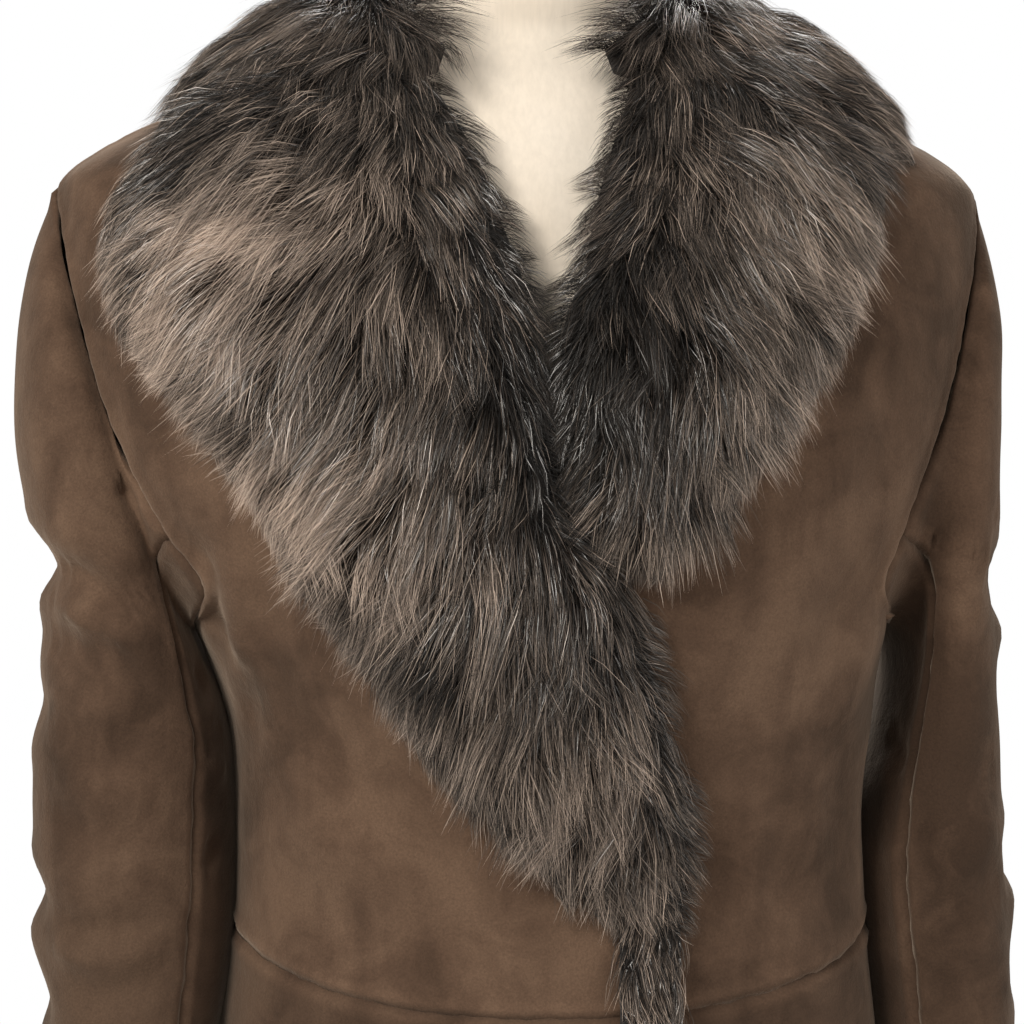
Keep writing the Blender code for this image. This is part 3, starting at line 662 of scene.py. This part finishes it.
# The way each side is looked at, and the axis that this look runs along.
VIEWS = {"front": ((0, 1, 0), 1), "back": ((0, -1, 0), 1), "left": ((-1, 0, 0), 0), "right": ((1, 0, 0), 0)}
MILLIMETRE = 1000
CREASE_STEP = 0.004
END_FADE = 3.4
# A ridge beside a crease: its share of the depth, and its middle and width in widths of the crease.
RIDGE = (0.34, 2.1, 0.8)
CREASE_REACH = 4
print("creases drawn:", sum(len(lines) for lines in CREASES.values()))


# %% [markdown]
# A crease line is shone on the panel from its side, as a light would throw it, and its points are joined by
# short steps. How far a point of the cloth is from the line, and how near the line's ends that is, gives
# how much it moves along its own normal.


# %% Press the creases
def thrown(tree, side, places):
    """The crease's points, thrown on the panel from one side."""
    direction, along = Vector(VIEWS[side][0]), VIEWS[side][1]
    dense = []
    for (a, h), (b, k) in zip(places, places[1:]):
        steps = max(2, int(math.hypot(b - a, k - h) / MILLIMETRE / CREASE_STEP))
        dense += [(a + (b - a) * i / steps, h + (k - h) * i / steps) for i in range(steps)]
    dense.append(places[-1])
    found = []
    for a, h in dense:
        start = [0.0, 0.0, h / MILLIMETRE]
        start[1 - along] = a / MILLIMETRE
        hit = tree.ray_cast(Vector(start) - direction, direction)[0]
        if hit is not None:
            found.append(hit)
    return np.array(found, float)


def pressed(points, tree, creases):
    """How far each point moves along its normal for all of a panel's creases."""
    move = np.zeros(len(points))
    for side, width, height, *places in creases:
        line = thrown(tree, side, places)
        if len(line) < 3:
            print("  a crease misses its panel:", side, places[0])
            continue
        width, height = width / MILLIMETRE, height / MILLIMETRE
        low, high = line.min(0) - CREASE_REACH * width, line.max(0) + CREASE_REACH * width
        near = np.flatnonzero(((points > low) & (points < high)).all(1))
        gap = np.linalg.norm(points[near, None] - line[None], axis=2)
        along = gap.argmin(1) / (len(line) - 1)
        gap = gap.min(1) / width
        fade = np.clip(np.minimum(along, 1 - along) * END_FADE, 0, 1)
        fade = fade * fade * (3 - 2 * fade)
        share, middle, spread = RIDGE
        ridge = share * np.exp(-((gap - middle) / spread) ** 2)
        move[near] += height * fade * (np.exp(-gap**2) - ridge)
    return move


# %% [markdown]
# Between its creases the skin is never quite flat: it has slow swells as wide as a hand and shallow ones as
# wide as a thumb. Beside a seam the turned-in edge makes a low welt with a faint groove at the join, and the
# stitches pucker the welt at an uneven spacing. A free edge is only rounded.

# %% Swells, seams and puckers
# Swell and dimple: height, and how many in a metre. Welt: height, distance from the seam, half width.
# Groove: depth, half width. Pucker: height, reach, how many in a metre. Rounding: how far in, and its reach.
SWELL = (0.0020, 8.0)
DIMPLE = (0.0007, 30.0)
WELT = (0.0014, 0.0056, 0.0038)
GROOVE = (0.0001, 0.0020)
PUCKER = (0.0009, 0.0085, 120.0)
ROUNDING = (0.0007, 0.0025)
SEAM_REACH = 0.012
# The distance that stands for no such edge.
FREE = 1.0


def wavy(points, scale, seed):
    """Smooth noise from minus one to one at every point."""
    shift = Vector((seed * 3.7, seed * 1.9, seed * 5.3))
    return np.array([noise.noise(Vector(point) * scale + shift) for point in points])


def side_distances(sheet):
    """How far every corner is from the sheet's four sides, measured along the cloth."""
    across = np.linalg.norm(np.diff(sheet, axis=1), axis=2)
    up = np.linalg.norm(np.diff(sheet, axis=0), axis=2)
    left = np.pad(np.cumsum(across, axis=1), ((0, 0), (1, 0)))
    low = np.pad(np.cumsum(up, axis=0), ((1, 0), (0, 0)))
    return {"left": left, "right": left[:, -1:] - left, "bottom": low, "top": low[-1:] - low}


def seam_shape(points, distance, seed):
    """The welt, the groove and the puckers beside a seam."""
    rise, middle, width = WELT
    move = rise * np.exp(-((distance - middle) / width) ** 2)
    move -= GROOVE[0] * np.exp(-((distance / GROOVE[1]) ** 2))
    near = distance < SEAM_REACH * 1.5
    height, reach, scale = PUCKER
    move[near] += height * wavy(points[near], scale, seed) * np.exp(-((distance[near] / reach) ** 2))
    return move


# %% [markdown]
# Each panel is now made: its net becomes a fine sheet, small kinks are smoothed out, the sheet is creased,
# its seam edges are turned in, and Solidify gives it back its 3 mm of thickness. Its flat area in the table is
# that of the imported skin, because real cloth hardly stretches. The width and length of the flat cut are only
# estimates.

# %% Make the panels
CLOTH = 0.0030
# The creases fade out by this distance from an edge, and over this height up the shoulders, to this share.
EDGE_FADE = 0.014
SHOULDER, SHOULDER_FADE, SHOULDER_SHARE = 1.34, 0.03, 0.1
# panel: cell size, the flat cut's guessed width and length, its area, and the sides that are seams
PANELS = {
    "bodice_front_right": (0.0036, 0.290, 0.450, 0.108, "left bottom"),
    "bodice_front_left": (0.0036, 0.290, 0.450, 0.110, "right bottom"),
    "bodice_back": (0.0052, 0.480, 0.450, 0.196, "left right bottom"),
    "skirt_front_right": (0.0058, 0.440, 0.590, 0.200, "left top"),
    "skirt_front_left": (0.0058, 0.440, 0.590, 0.202, "right top"),
    "skirt_back": (0.0064, 0.700, 0.590, 0.340, "left right top"),
    "sleeve_upper_right": (0.0036, 0.250, 0.640, 0.124, "left right top"),
    "sleeve_under_right": (0.0036, 0.110, 0.500, 0.047, "left right top"),
    "sleeve_upper_left": (0.0036, 0.240, 0.640, 0.113, "left right top"),
    "sleeve_under_left": (0.0036, 0.110, 0.500, 0.046, "left right top"),
}
# How far a panel bellies out towards its neighbour, and between which heights.
BELLY = {"sleeve_under_right": (0.0040, 0.90, 1.13), "sleeve_under_left": (0.0050, 0.86, 1.13)}
# Where the cloth stands out from its net: pieces, middle, reach each way, and how far.
BULGES = (
    (("bodice", "skirt"), (0.150, 0.000, 1.040), (0.050, 0.090, 0.090), 0.0085),
    (("sleeve",), (0.190, 0.020, 1.060), (0.022, 0.070, 0.070), 0.0030),
)
CREASE_DEPTH = 1.2
# Panels that lie in shade take a darker copy of the suede, as painted shade.
SHADED_SUEDES = {"skirt": SUEDE_SKIRT_SHADED, "sleeve_upper": SUEDE_SLEEVE_SHADED, "sleeve_under": SUEDE_UNDER_SHADED}
# The turned-in edge of a seam goes under its neighbour: how far it reaches out, and how far it dips.
TUCK_OUT, TUCK_DOWN = 0.0014, 0.0012
EASE_STEPS = 14


def eased(sheet):
    """The sheet with its small kinks smoothed out between its edges, which stay where they are."""
    sheet = sheet.copy()
    for _ in range(EASE_STEPS):
        around = sheet[:-2, 1:-1] + sheet[2:, 1:-1] + sheet[1:-1, :-2] + sheet[1:-1, 2:]
        sheet[1:-1, 1:-1] = (sheet[1:-1, 1:-1] + around / 4) / 2
    return sheet


def tucked(sheet, normals, seams):
    """The sheet with its seam edges turned in and pushed a little under the panels that they meet."""
    sheet = sheet.copy()
    edges = {"bottom": (np.s_[0], np.s_[1]), "top": (np.s_[-1], np.s_[-2]),
             "left": (np.s_[:, 0], np.s_[:, 1]), "right": (np.s_[:, -1], np.s_[:, -2])}
    for side in seams.split():
        edge, beside = edges[side]
        out = sheet[edge] - sheet[beside]
        out /= np.linalg.norm(out, axis=1, keepdims=True)
        sheet[edge] += out * TUCK_OUT - normals[edge] * TUCK_DOWN
    return sheet


def make_panel(name, size, width, length, area, seams, seed):
    sheet = eased(sheet_of(skins[name], *cells(skins[name], size)))
    shape = sheet.shape[:2]
    points, normals = sheet.reshape(-1, 3), normals_of(sheet).reshape(-1, 3)
    bm = bmesh.new()
    layers = [bm.verts.layers.float.new(kind) for kind in ("seam", "edge")]
    corners = add_grid(bm, sheet)
    tree = BVHTree.FromBMesh(bm)
    sides = side_distances(sheet)
    seam = np.min([sides[side] for side in seams.split()], axis=0).ravel()
    free = np.min([sides[side] for side in sides if side not in seams.split()] + [np.full(shape, FREE)],
                  axis=0).ravel()
    move = pressed(points, tree, CREASES.get(name, ())) * CREASE_DEPTH
    move += SWELL[0] * wavy(points, SWELL[1], seed) + DIMPLE[0] * wavy(points, DIMPLE[1], seed + 20)
    if name in BELLY:
        out, low, high = BELLY[name]
        across = np.tile(np.linspace(0, 1, shape[1]), shape[0])
        lift = np.clip((points[:, 2] - low) / (high - low), 0, 1)
        move += out * np.sin(np.pi * across) ** 2 * np.sin(np.pi * lift)
    # The edges and the tops of the shoulders keep their place, so the seams meet and the form stays clear.
    below = (SHOULDER + SHOULDER_FADE - points[:, 2]) / SHOULDER_FADE
    steady = np.clip(np.minimum(seam, free) / EDGE_FADE, 0, 1) * np.clip(below, SHOULDER_SHARE, 1)
    move = move * steady + seam_shape(points, seam, seed + 40)
    move -= ROUNDING[0] * np.exp(-((free / ROUNDING[1]) ** 2))
    for pieces, middle, reach, out in BULGES:
        if name.startswith(pieces):
            move += out * np.exp(-(((points - middle) / reach) ** 2).sum(1))
    creased = (points + normals * move[:, None]).reshape(sheet.shape)
    creased = tucked(creased, normals.reshape(sheet.shape), seams)
    for vert, place in zip(corners.ravel(), creased.reshape(-1, 3)):
        vert.co = place
    for layer, distance in zip(layers, (seam, free)):
        for vert, gap in zip(corners.ravel(), distance):
            vert[layer] = min(gap / SEAM_REACH, 1)
    # A panel in shade takes its darker copy of the suede, painted shade.
    finish = next((finish for start, finish in SHADED_SUEDES.items() if name.startswith(start)), SUEDE)
    body = new_piece(bm, name + "_cloth", finish)
    wall = body.modifiers.new("thickness", "SOLIDIFY")
    wall.thickness = CLOTH
    wall.offset = -1
    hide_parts(name)
    skin = sum(face.area for face in body.data.polygons)
    print(f"{name}: {len(body.data.polygons)} faces, area {skin:.4f} m2, "
          f"moved {move.min() * MILLIMETRE:.1f} to {move.max() * MILLIMETRE:.1f} mm")


for place, (name, cut) in enumerate(PANELS.items()):
    make_panel(name, *cut, seed=place + 1)

# %% [markdown]
# The dress form is smooth and whole. Its packed torso has flat facets, so a subdivided copy stands for it,
# drawn in by less than a millimetre to stay clear of the coat. The neck cap gets the same cloth.

# %% Dress form
FORM_CLEARANCE = 0.0009
FORM_LEVELS = 2
FLAT_ENOUGH, SQUARE_ENOUGH = math.radians(60), math.radians(120)


def make_cover(node_name):
    bm = bmesh.new()
    bm.from_mesh(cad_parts[node_name].data)
    bmesh.ops.remove_doubles(bm, verts=bm.verts, dist=MERGE)
    bmesh.ops.join_triangles(bm, faces=bm.faces, angle_face_threshold=FLAT_ENOUGH,
                             angle_shape_threshold=SQUARE_ENOUGH)
    bm.normal_update()
    for vert in bm.verts:
        vert.co -= vert.normal * FORM_CLEARANCE
    body = new_piece(bm, node_name + "_cover", JERSEY)
    smooth = body.modifiers.new("smooth", "SUBSURF")
    smooth.levels = FORM_LEVELS
    smooth.render_levels = FORM_LEVELS
    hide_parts(node_name)
    print(body.name, len(body.data.polygons), "faces before smoothing")


make_cover("form_torso")
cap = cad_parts["form_neck_cap"]
cap.data.materials.clear()
cap.data.materials.append(JERSEY)

# %% [markdown]
# The fur grows from a pelt. Each packed fur piece is one plain solid as deep as the hair reaches, so the pelt
# is only as deep as the dense wool, and the long hairs are rooted there. The comb table gives the way the
# hair lies: arrows at places on the front, seen from the front, which are blended by their nearness. Away
# from the front the hair simply falls outwards and down from the neck.

# %% Comb table
# place across and up, then the way the hair points across and up.
COMB = np.array([
    # the wearer's right side of the collar and the over lapel
    (-0.085, 1.445, -0.55, -0.95), (-0.125, 1.420, -0.85, -0.70), (-0.165, 1.385, -1.00, -0.45),
    (-0.060, 1.410, -0.10, -1.00), (-0.040, 1.370, 0.05, -1.00), (-0.095, 1.385, -0.60, -0.85),
    (-0.150, 1.340, -0.95, -0.55), (-0.180, 1.310, -1.00, -0.55), (-0.110, 1.330, -0.70, -0.80),
    (-0.050, 1.320, -0.20, -1.00), (-0.020, 1.300, 0.30, -1.00), (-0.160, 1.270, -1.00, -0.60),
    (-0.100, 1.270, -0.75, -0.80), (-0.045, 1.260, -0.40, -1.00), (-0.005, 1.240, 0.20, -1.00),
    (-0.130, 1.230, -0.95, -0.70), (-0.080, 1.215, -0.75, -0.85), (-0.030, 1.200, -0.45, -1.00),
    (0.010, 1.190, 0.05, -1.00), (-0.095, 1.175, -0.80, -0.75), (-0.045, 1.160, -0.50, -1.00),
    (0.005, 1.150, -0.10, -1.00), (0.035, 1.150, 0.35, -1.00), (-0.070, 1.130, -0.70, -0.90),
    (-0.025, 1.110, -0.35, -1.00), (0.020, 1.100, 0.05, -1.00), (0.050, 1.105, 0.45, -1.00),
    (-0.030, 1.070, -0.45, -1.00), (0.020, 1.060, 0.00, -1.00), (0.060, 1.060, 0.35, -1.00),
    (0.040, 1.000, 0.05, -1.00), (0.055, 0.800, 0.10, -1.00), (0.045, 0.500, 0.00, -1.00),
    # the wearer's left side of the collar and the under lapel
    (0.075, 1.440, 0.50, -0.95), (0.115, 1.415, 0.80, -0.70), (0.150, 1.380, 1.00, -0.45),
    (0.050, 1.400, 0.00, -1.00), (0.085, 1.375, 0.55, -0.90), (0.145, 1.335, 1.00, -0.55),
    (0.040, 1.350, -0.15, -1.00), (0.090, 1.320, 0.60, -0.85), (0.130, 1.290, 0.95, -0.70),
    (0.035, 1.300, -0.20, -1.00), (0.070, 1.275, 0.35, -1.00), (0.110, 1.255, 0.80, -0.80),
    (0.030, 1.250, -0.15, -1.00), (0.060, 1.225, 0.35, -1.00), (0.085, 1.220, 0.70, -0.85),
    (0.045, 1.200, 0.25, -1.00),
])
COMB_REACH = 0.026
# Behind this depth the table gives way to a fall from the neck, over this distance.
COMB_FRONT, COMB_BLEND = 0.045, 0.06
FALL_OUT, FALL_DOWN = 0.75, 0.85


def combed(points, normals):
    """The unit direction along the skin in which the hair lies at each point."""
    gap = ((points[:, None, [0, 2]] - COMB[None, :, :2]) ** 2).sum(2)
    weight = np.exp(-gap / COMB_REACH**2) + 1e-9
    lie = (weight[..., None] * COMB[None, :, 2:]).sum(1) / weight.sum(1, keepdims=True)
    lie /= np.linalg.norm(lie, axis=1, keepdims=True) + 1e-9
    front = np.stack([lie[:, 0], np.zeros(len(lie)), lie[:, 1]], axis=1)
    away = points * [1, 1, 0]
    away /= np.linalg.norm(away, axis=1, keepdims=True) + 1e-9
    fall = away * FALL_OUT - np.array([0, 0, FALL_DOWN])
    round_back = np.clip((points[:, 1:2] + COMB_FRONT) / COMB_BLEND, 0, 1)
    lie = front * (1 - round_back) + fall * round_back
    lie -= normals * (lie * normals).sum(1, keepdims=True)
    return lie / (np.linalg.norm(lie, axis=1, keepdims=True) + 1e-9)


print("comb arrows:", len(COMB))

# %% [markdown]
# The pelt is made from the fur's own nets: its outer sheet lies part of the way from the inner skin to the
# outer one, where the dense wool ends, and its edges are closed to the inner sheet. How deep the fur is
# at a place gives how long its hair grows there.

# %% Pelts
WOOL_SHARE = 0.50
PELT_CELL = 0.0045
ROOT_CELL = 0.0020
GORGE_PULL = 0.012
# Which sides meet at the seam between collar and lapel, and whether they meet at the side's far end.
GORGE = {"collar_fur": (("left", True), ("right", True)), "lapel_fur_right": (("top", True),),
         "lapel_fur_left": (("top", False),), "edge_fur": ()}
# A fur's outer skin faces away from one of these. A core at height zero stands for an upright line.
COLLAR_CORE, LAPEL_CORE = (0, 0, 1.25), (0, 0.1, 0)


def pulled(net, side, most, grows):
    """The net with one side pulled out, most at one end of that side and not at all at the other."""
    net = net.copy()
    turned = net.swapaxes(0, 1) if side in ("left", "right") else net
    turned = turned[::-1] if side in ("left", "bottom") else turned
    step = turned[-1] - turned[-2]
    share = np.linspace(0, 1, len(step)) if grows else np.linspace(1, 0, len(step))
    turned[-1] += step / np.linalg.norm(step, axis=1, keepdims=True) * most * share[:, None]
    return net


def fur_nets(name):
    """The fur piece's outer and inner nets, row for row and column for column."""
    points, faces = merged(name)
    rows, columns = rows_and_columns(name)
    core = COLLAR_CORE if name == "collar_fur" else LAPEL_CORE
    outer, inner = fur_skins(points, faces, core, (rows + 1) * (columns + 1))
    # The inner skin faces the coat, so its rows are walked the other way round and turned back.
    nets = net_of(name, points, outer), net_of(name, points, inner)[:, ::-1]
    for side, grows in GORGE[name]:
        nets = [pulled(net, side, GORGE_PULL, grows) for net in nets]
    return nets


def make_pelt(name, outer, inner):
    size = cells(outer, PELT_CELL)
    low, high = sheet_of(inner, *size, like=outer), sheet_of(outer, *size)
    bm = bmesh.new()
    add_grid(bm, low + (high - low) * WOOL_SHARE)
    top = set(bm.faces)
    add_grid(bm, low)
    bmesh.ops.reverse_faces(bm, faces=[face for face in bm.faces if face not in top])
    bmesh.ops.bridge_loops(bm, edges=[edge for edge in bm.edges if edge.is_boundary])
    open_edges = sum(edge.is_boundary for edge in bm.edges)
    body = new_piece(bm, name + "_pelt", PELT)
    print(body.name, len(body.data.polygons), "faces,", open_edges, "open edges")
    return body


# %% [markdown]
# A hair is a narrow, tapering ribbon of a few faces. Its root stands up from the pelt, it bends over along
# the comb, and its tip is drawn a little towards the middle of its tuft, because long fur parts into tufts
# of two sizes. All the hairs of a piece are worked out at once as arrays and joined in one mesh.

# %% Hair
SEED = 11
RINGS = np.array([0.0, 0.34, 0.70, 1.0])
HAIR_WIDTH = (0.00020, 0.00038)
HAIR_ROLL, HAIR_SWAY, HAIR_DROP = 1.2, 0.0030, 0.14
HAIR_LENGTH = 0.043
# The depth of fur at which a hair has that length, and the least and most share of it elsewhere.
FULL_DEPTH, FULL_SHARE = 0.031, (0.45, 1.1)
# How a single hair's length and rise vary. A lock varies them by its least share and a random part more.
LENGTHS, LOCK_LENGTH = (0.62, 1.12), (0.85, 0.3)
RISES, LOCK_RISE = (0.55, 1.30), (0.8, 0.5)
# The long guard hairs: their share of all hairs, and how much longer and paler they are.
GUARD_SHARE, GUARD_LENGTH, GUARD_PALE = 0.14, 0.30, 0.50
# A tuft or a lock: the distance between leaders, and the pull of its tips towards the leader.
TUFT, TUFT_PULL = 0.0078, 0.46
LOCK, LOCK_PULL = 0.020, 0.22
# How a hair, its tuft and its lock turn off the comb, in radians.
TURN_HAIR, TURN_TUFT, TURN_LOCK = 0.20, 0.20, 0.22
# How pale a hair is: the middle value, the spread of single hairs, and that of tufts and locks.
PALE, PALE_HAIR, PALE_TUFT = 0.28, 0.30, 0.24
# Along the neck opening the fur is painted darker, as painted shade, to the least share, and leans out over
# the edge.
INNER_SHADE, INNER_LEAST = 0.022, 0.45
NECK_FLARE, NECK_LEAN = 0.012, 1.3
FRONT_OF = 0.02


def looked_up(sheet, up, across):
    """A fine sheet's value at places given from 0 to 1 up and across it."""
    row, column = up * (sheet.shape[0] - 1), across * (sheet.shape[1] - 1)
    i = np.minimum(row.astype(int), sheet.shape[0] - 2)
    j = np.minimum(column.astype(int), sheet.shape[1] - 2)
    r, c = (row - i)[:, None], (column - j)[:, None]
    return ((sheet[i, j] * (1 - r) + sheet[i + 1, j] * r) * (1 - c)
            + (sheet[i, j + 1] * (1 - r) + sheet[i + 1, j + 1] * r) * c)


def rooted(outer, inner, count, random, part, inside):
    """Roots spread evenly over a part of the fur, each with its normal, the fur's depth, and the distance and
    the way to the side along the neck opening."""
    size = cells(outer, ROOT_CELL)
    high, low = sheet_of(outer, *size), sheet_of(inner, *size, like=outer)
    wool = low + (high - low) * WOOL_SHARE
    area = np.linalg.norm(np.cross(wool[1:, :-1] - wool[:-1, :-1], wool[:-1, 1:] - wool[:-1, :-1]), axis=2)
    middle = (wool[:-1, :-1] + wool[1:, 1:]) / 2
    wanted = part(middle[..., 0], middle[..., 1], middle[..., 2])
    share = (area * wanted).ravel() / (area * wanted).sum()
    cell = random.choice(area.size, count, p=share)
    up = (cell // area.shape[1] + random.random(count)) / area.shape[0]
    across = (cell % area.shape[1] + random.random(count)) / area.shape[1]
    normal = looked_up(normals_of(high), up, across)
    normal /= np.linalg.norm(normal, axis=1, keepdims=True)
    root = looked_up(wool, up, across)
    depth = np.linalg.norm(looked_up(high, up, across) - looked_up(low, up, across), axis=1)
    if inside is None:
        return root, normal, depth, np.full(count, FREE), np.zeros_like(root)
    gap = looked_up(side_distances(wool)[inside][..., None], up, across)[:, 0]
    toward = np.gradient(wool, axis=0 if inside == "top" else 1) * (-1 if inside == "left" else 1)
    toward = looked_up(toward / np.linalg.norm(toward, axis=2, keepdims=True), up, across)
    return root, normal, depth, gap, toward


def leaders(root, spacing, random):
    """For every root, the root that leads its tuft."""
    tree = KDTree(len(root))
    for place, point in enumerate(root):
        tree.insert(point, place)
    tree.balance()
    led = np.arange(len(root))
    best = np.full(len(root), 9.0)
    for place in random.permutation(len(root)):
        if best[place] < spacing * 0.8:
            continue
        for _, other, gap in tree.find_range(root[place], spacing * 1.6):
            if gap < best[other]:
                best[other] = gap
                led[other] = place
    return led


def strands(root, normal, lie, length, rise, sway):
    """Points along every hair: out from the skin, then over along the comb and down by its own weight."""
    t = RINGS[None, :, None]
    side = np.cross(normal, lie)
    up = normal[:, None] * rise[:, None, None] * (1.9 * t - 1.05 * t**2)
    over = lie[:, None] * length[:, None, None] * (0.35 * t + 0.65 * t**2)
    wave = side[:, None] * sway[:, None, None] * np.sin(2.6 * t)
    drop = np.array([0, 0, -1.0]) * length[:, None, None] * HAIR_DROP * t**2
    return root[:, None] + up + over + wave + drop


def ribbons(path, normal, width, roll):
    """The corners of every hair's ribbon, two to a ring and one at the tip."""
    tangent = np.gradient(path, axis=1)
    tangent /= np.linalg.norm(tangent, axis=2, keepdims=True) + 1e-12
    flat = np.cross(tangent, normal[:, None])
    flat /= np.linalg.norm(flat, axis=2, keepdims=True) + 1e-12
    across = flat * np.cos(roll) + np.cross(tangent, flat) * np.sin(roll)
    across = across * width * (1 - 0.7 * RINGS[None, :, None] ** 2)
    pairs = np.stack([path[:, :-1] - across[:, :-1] / 2, path[:, :-1] + across[:, :-1] / 2], axis=2)
    return np.concatenate([pairs.reshape(len(path), -1, 3), path[:, -1:]], axis=1)


def ribbon_mesh(name, points):
    """One mesh of all the ribbons."""
    count, each = points.shape[:2]
    quads = [(k, k + 1, k + 3, k + 2) for k in range(0, each - 3, 2)]
    start = np.arange(count)[:, None] * each
    four = (start[:, None] + np.array(quads)[None]).reshape(-1)
    three = (start + np.arange(each - 3, each)[None]).reshape(-1)
    mesh = bpy.data.meshes.new(name)
    mesh.vertices.add(count * each)
    mesh.vertices.foreach_set("co", points.reshape(-1))
    mesh.loops.add(len(four) + len(three))
    mesh.loops.foreach_set("vertex_index", np.concatenate([four, three]))
    sizes = np.concatenate([np.full(len(four) // 4, 4), np.full(len(three) // 3, 3)])
    mesh.polygons.add(len(sizes))
    mesh.polygons.foreach_set("loop_start", np.concatenate([[0], np.cumsum(sizes)[:-1]]))
    mesh.update(calc_edges=True)
    return mesh


# Painted highlights on the front of the fur, and painted shade where the amount is negative: across, up, half
# width, half height, amount.
PAINTED_LIGHT_SPOTS = (
    (-0.125, 1.337, 0.042, 0.028, 0.70), (-0.150, 1.287, 0.032, 0.034, 0.46),
    (-0.092, 1.221, 0.050, 0.034, 0.58), (0.022, 1.110, 0.035, 0.040, 0.26),
    (0.109, 1.326, 0.032, 0.040, 0.24), (0.092, 1.256, 0.032, 0.030, 0.22),
    (0.056, 1.204, 0.030, 0.020, 0.18), (-0.022, 1.283, 0.030, 0.060, -0.48),
    (0.039, 1.291, 0.030, 0.060, -0.60), (0.001, 1.243, 0.015, 0.048, -0.60),
    (-0.096, 1.405, 0.060, 0.028, -0.24), (0.066, 1.405, 0.060, 0.028, -0.22),
    (-0.143, 1.390, 0.015, 0.022, -0.50), (-0.153, 1.359, 0.028, 0.007, -0.50),
    (-0.044, 1.160, 0.014, 0.013, -0.70), (0.012, 1.154, 0.013, 0.015, -0.70),
    (0.130, 1.363, 0.012, 0.010, -0.50), (0.050, 0.990, 0.040, 0.040, 0.12),
)


def painted_light_at(points):
    """How much paler the fur is painted for a highlight, or darker for painted shade, at every point."""
    added = np.zeros(len(points))
    for x, z, wide, tall, amount in PAINTED_LIGHT_SPOTS:
        added += amount * np.exp(-(((points[:, 0] - x) / wide) ** 2 + ((points[:, 2] - z) / tall) ** 2))
    return added * (points[:, 1] < FRONT_OF)


def make_hair(name, outer, inner, count, part, inside, seed):
    random = np.random.default_rng(SEED + seed)
    root, normal, depth, gap, toward = rooted(outer, inner, count, random, part, inside)
    near = np.exp(-((gap / NECK_FLARE) ** 2))[:, None]
    lie = combed(root, normal) + NECK_LEAN * near * toward
    lie /= np.linalg.norm(lie, axis=1, keepdims=True)
    small, large = leaders(root, TUFT, random), leaders(root, LOCK, random)
    turn = random.standard_normal(count)
    turn = TURN_HAIR * turn + TURN_TUFT * turn[small] + TURN_LOCK * turn[large]
    lie = lie * np.cos(turn)[:, None] + np.cross(normal, lie) * np.sin(turn)[:, None]
    full = np.clip(depth / FULL_DEPTH, *FULL_SHARE)
    guard = random.random(count) < GUARD_SHARE
    long = random.uniform(*LENGTHS, count) * (LOCK_LENGTH[0] + LOCK_LENGTH[1] * random.random(count)[large])
    long = long * (1 + GUARD_LENGTH * guard)
    rise = depth * (1 - WOOL_SHARE) * random.uniform(*RISES, count)
    rise = rise * (LOCK_RISE[0] + LOCK_RISE[1] * random.random(count)[large])
    sway = HAIR_SWAY * random.standard_normal(count)
    path = strands(root, normal, lie, HAIR_LENGTH * full * long, rise, sway)
    t = RINGS[None, :, None]
    path += (path[small] - path) * TUFT_PULL * t**1.5
    path += (path[large] - path) * LOCK_PULL * t**1.2
    # Ribbons turn at random about their own length, so that some of them catch the light.
    width = random.uniform(*HAIR_WIDTH, count)[:, None, None]
    roll = random.uniform(-HAIR_ROLL, HAIR_ROLL, count)[:, None, None]
    mesh = ribbon_mesh(name, ribbons(path, normal, width, roll))
    # A hair's paleness is its own tone plus painted highlights and painted shade from the spot table, and it
    # is darkened along the neck opening as painted shade.
    pale = (PALE + PALE_HAIR * random.standard_normal(count) + PALE_TUFT * (random.random(count)[small] - 0.5)
            + PALE_TUFT * (random.random(count)[large] - 0.5) + GUARD_PALE * guard + painted_light_at(root))
    pale *= INNER_LEAST + (1 - INNER_LEAST) * np.clip(gap / INNER_SHADE, 0, 1)
    each = 2 * len(RINGS) - 1
    colour = np.zeros((count, each, 4))
    colour[..., 0] = np.concatenate([np.repeat(RINGS[:-1], 2), RINGS[-1:]])
    colour[..., 1] = np.clip(pale, 0, 1)[:, None]
    colour[..., 3] = 1
    mesh.color_attributes.new("hair", "FLOAT_COLOR", "POINT").data.foreach_set("color", colour.reshape(-1))
    mesh.shade_smooth()
    mesh.materials.append(HAIR)
    body = bpy.data.objects.new(name, mesh)
    scene.collection.objects.link(body)
    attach(body, "root")
    print(name, count, "hairs,", count * (each - 2), "triangles")
    return body


# %% [markdown]
# The collar's hair is split in two pieces so that each mesh stays light.

# %% Make the fur
def in_front(x, y, z):
    return y < FRONT_OF


def behind(x, y, z):
    return y >= FRONT_OF


def all_over(x, y, z):
    return z > 0


# node: the flat cut's guessed width, length and area, the side along the neck opening, and the hair pieces
FUR = {
    "collar_fur": (0.150, 0.560, 0.068, "top", (("collar_hair_front", 33000, in_front),
                                                ("collar_hair_back", 12500, behind))),
    "lapel_fur_right": (0.150, 0.480, 0.056, "right", (("lapel_hair_right", 39000, all_over),)),
    "lapel_fur_left": (0.130, 0.290, 0.026, "left", (("lapel_hair_left", 25000, all_over),)),
    "edge_fur": (0.028, 0.590, 0.015, None, (("edge_hair", 8000, all_over),)),
}

for place, (name, (width, length, area, inside, hair_pieces)) in enumerate(FUR.items()):
    outer, inner = fur_nets(name)
    pelt = make_pelt(name, outer, inner)
    made = [make_hair(piece, outer, inner, count, part, inside, seed=place * 10 + i)
            for i, (piece, count, part) in enumerate(hair_pieces)]
    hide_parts(name)
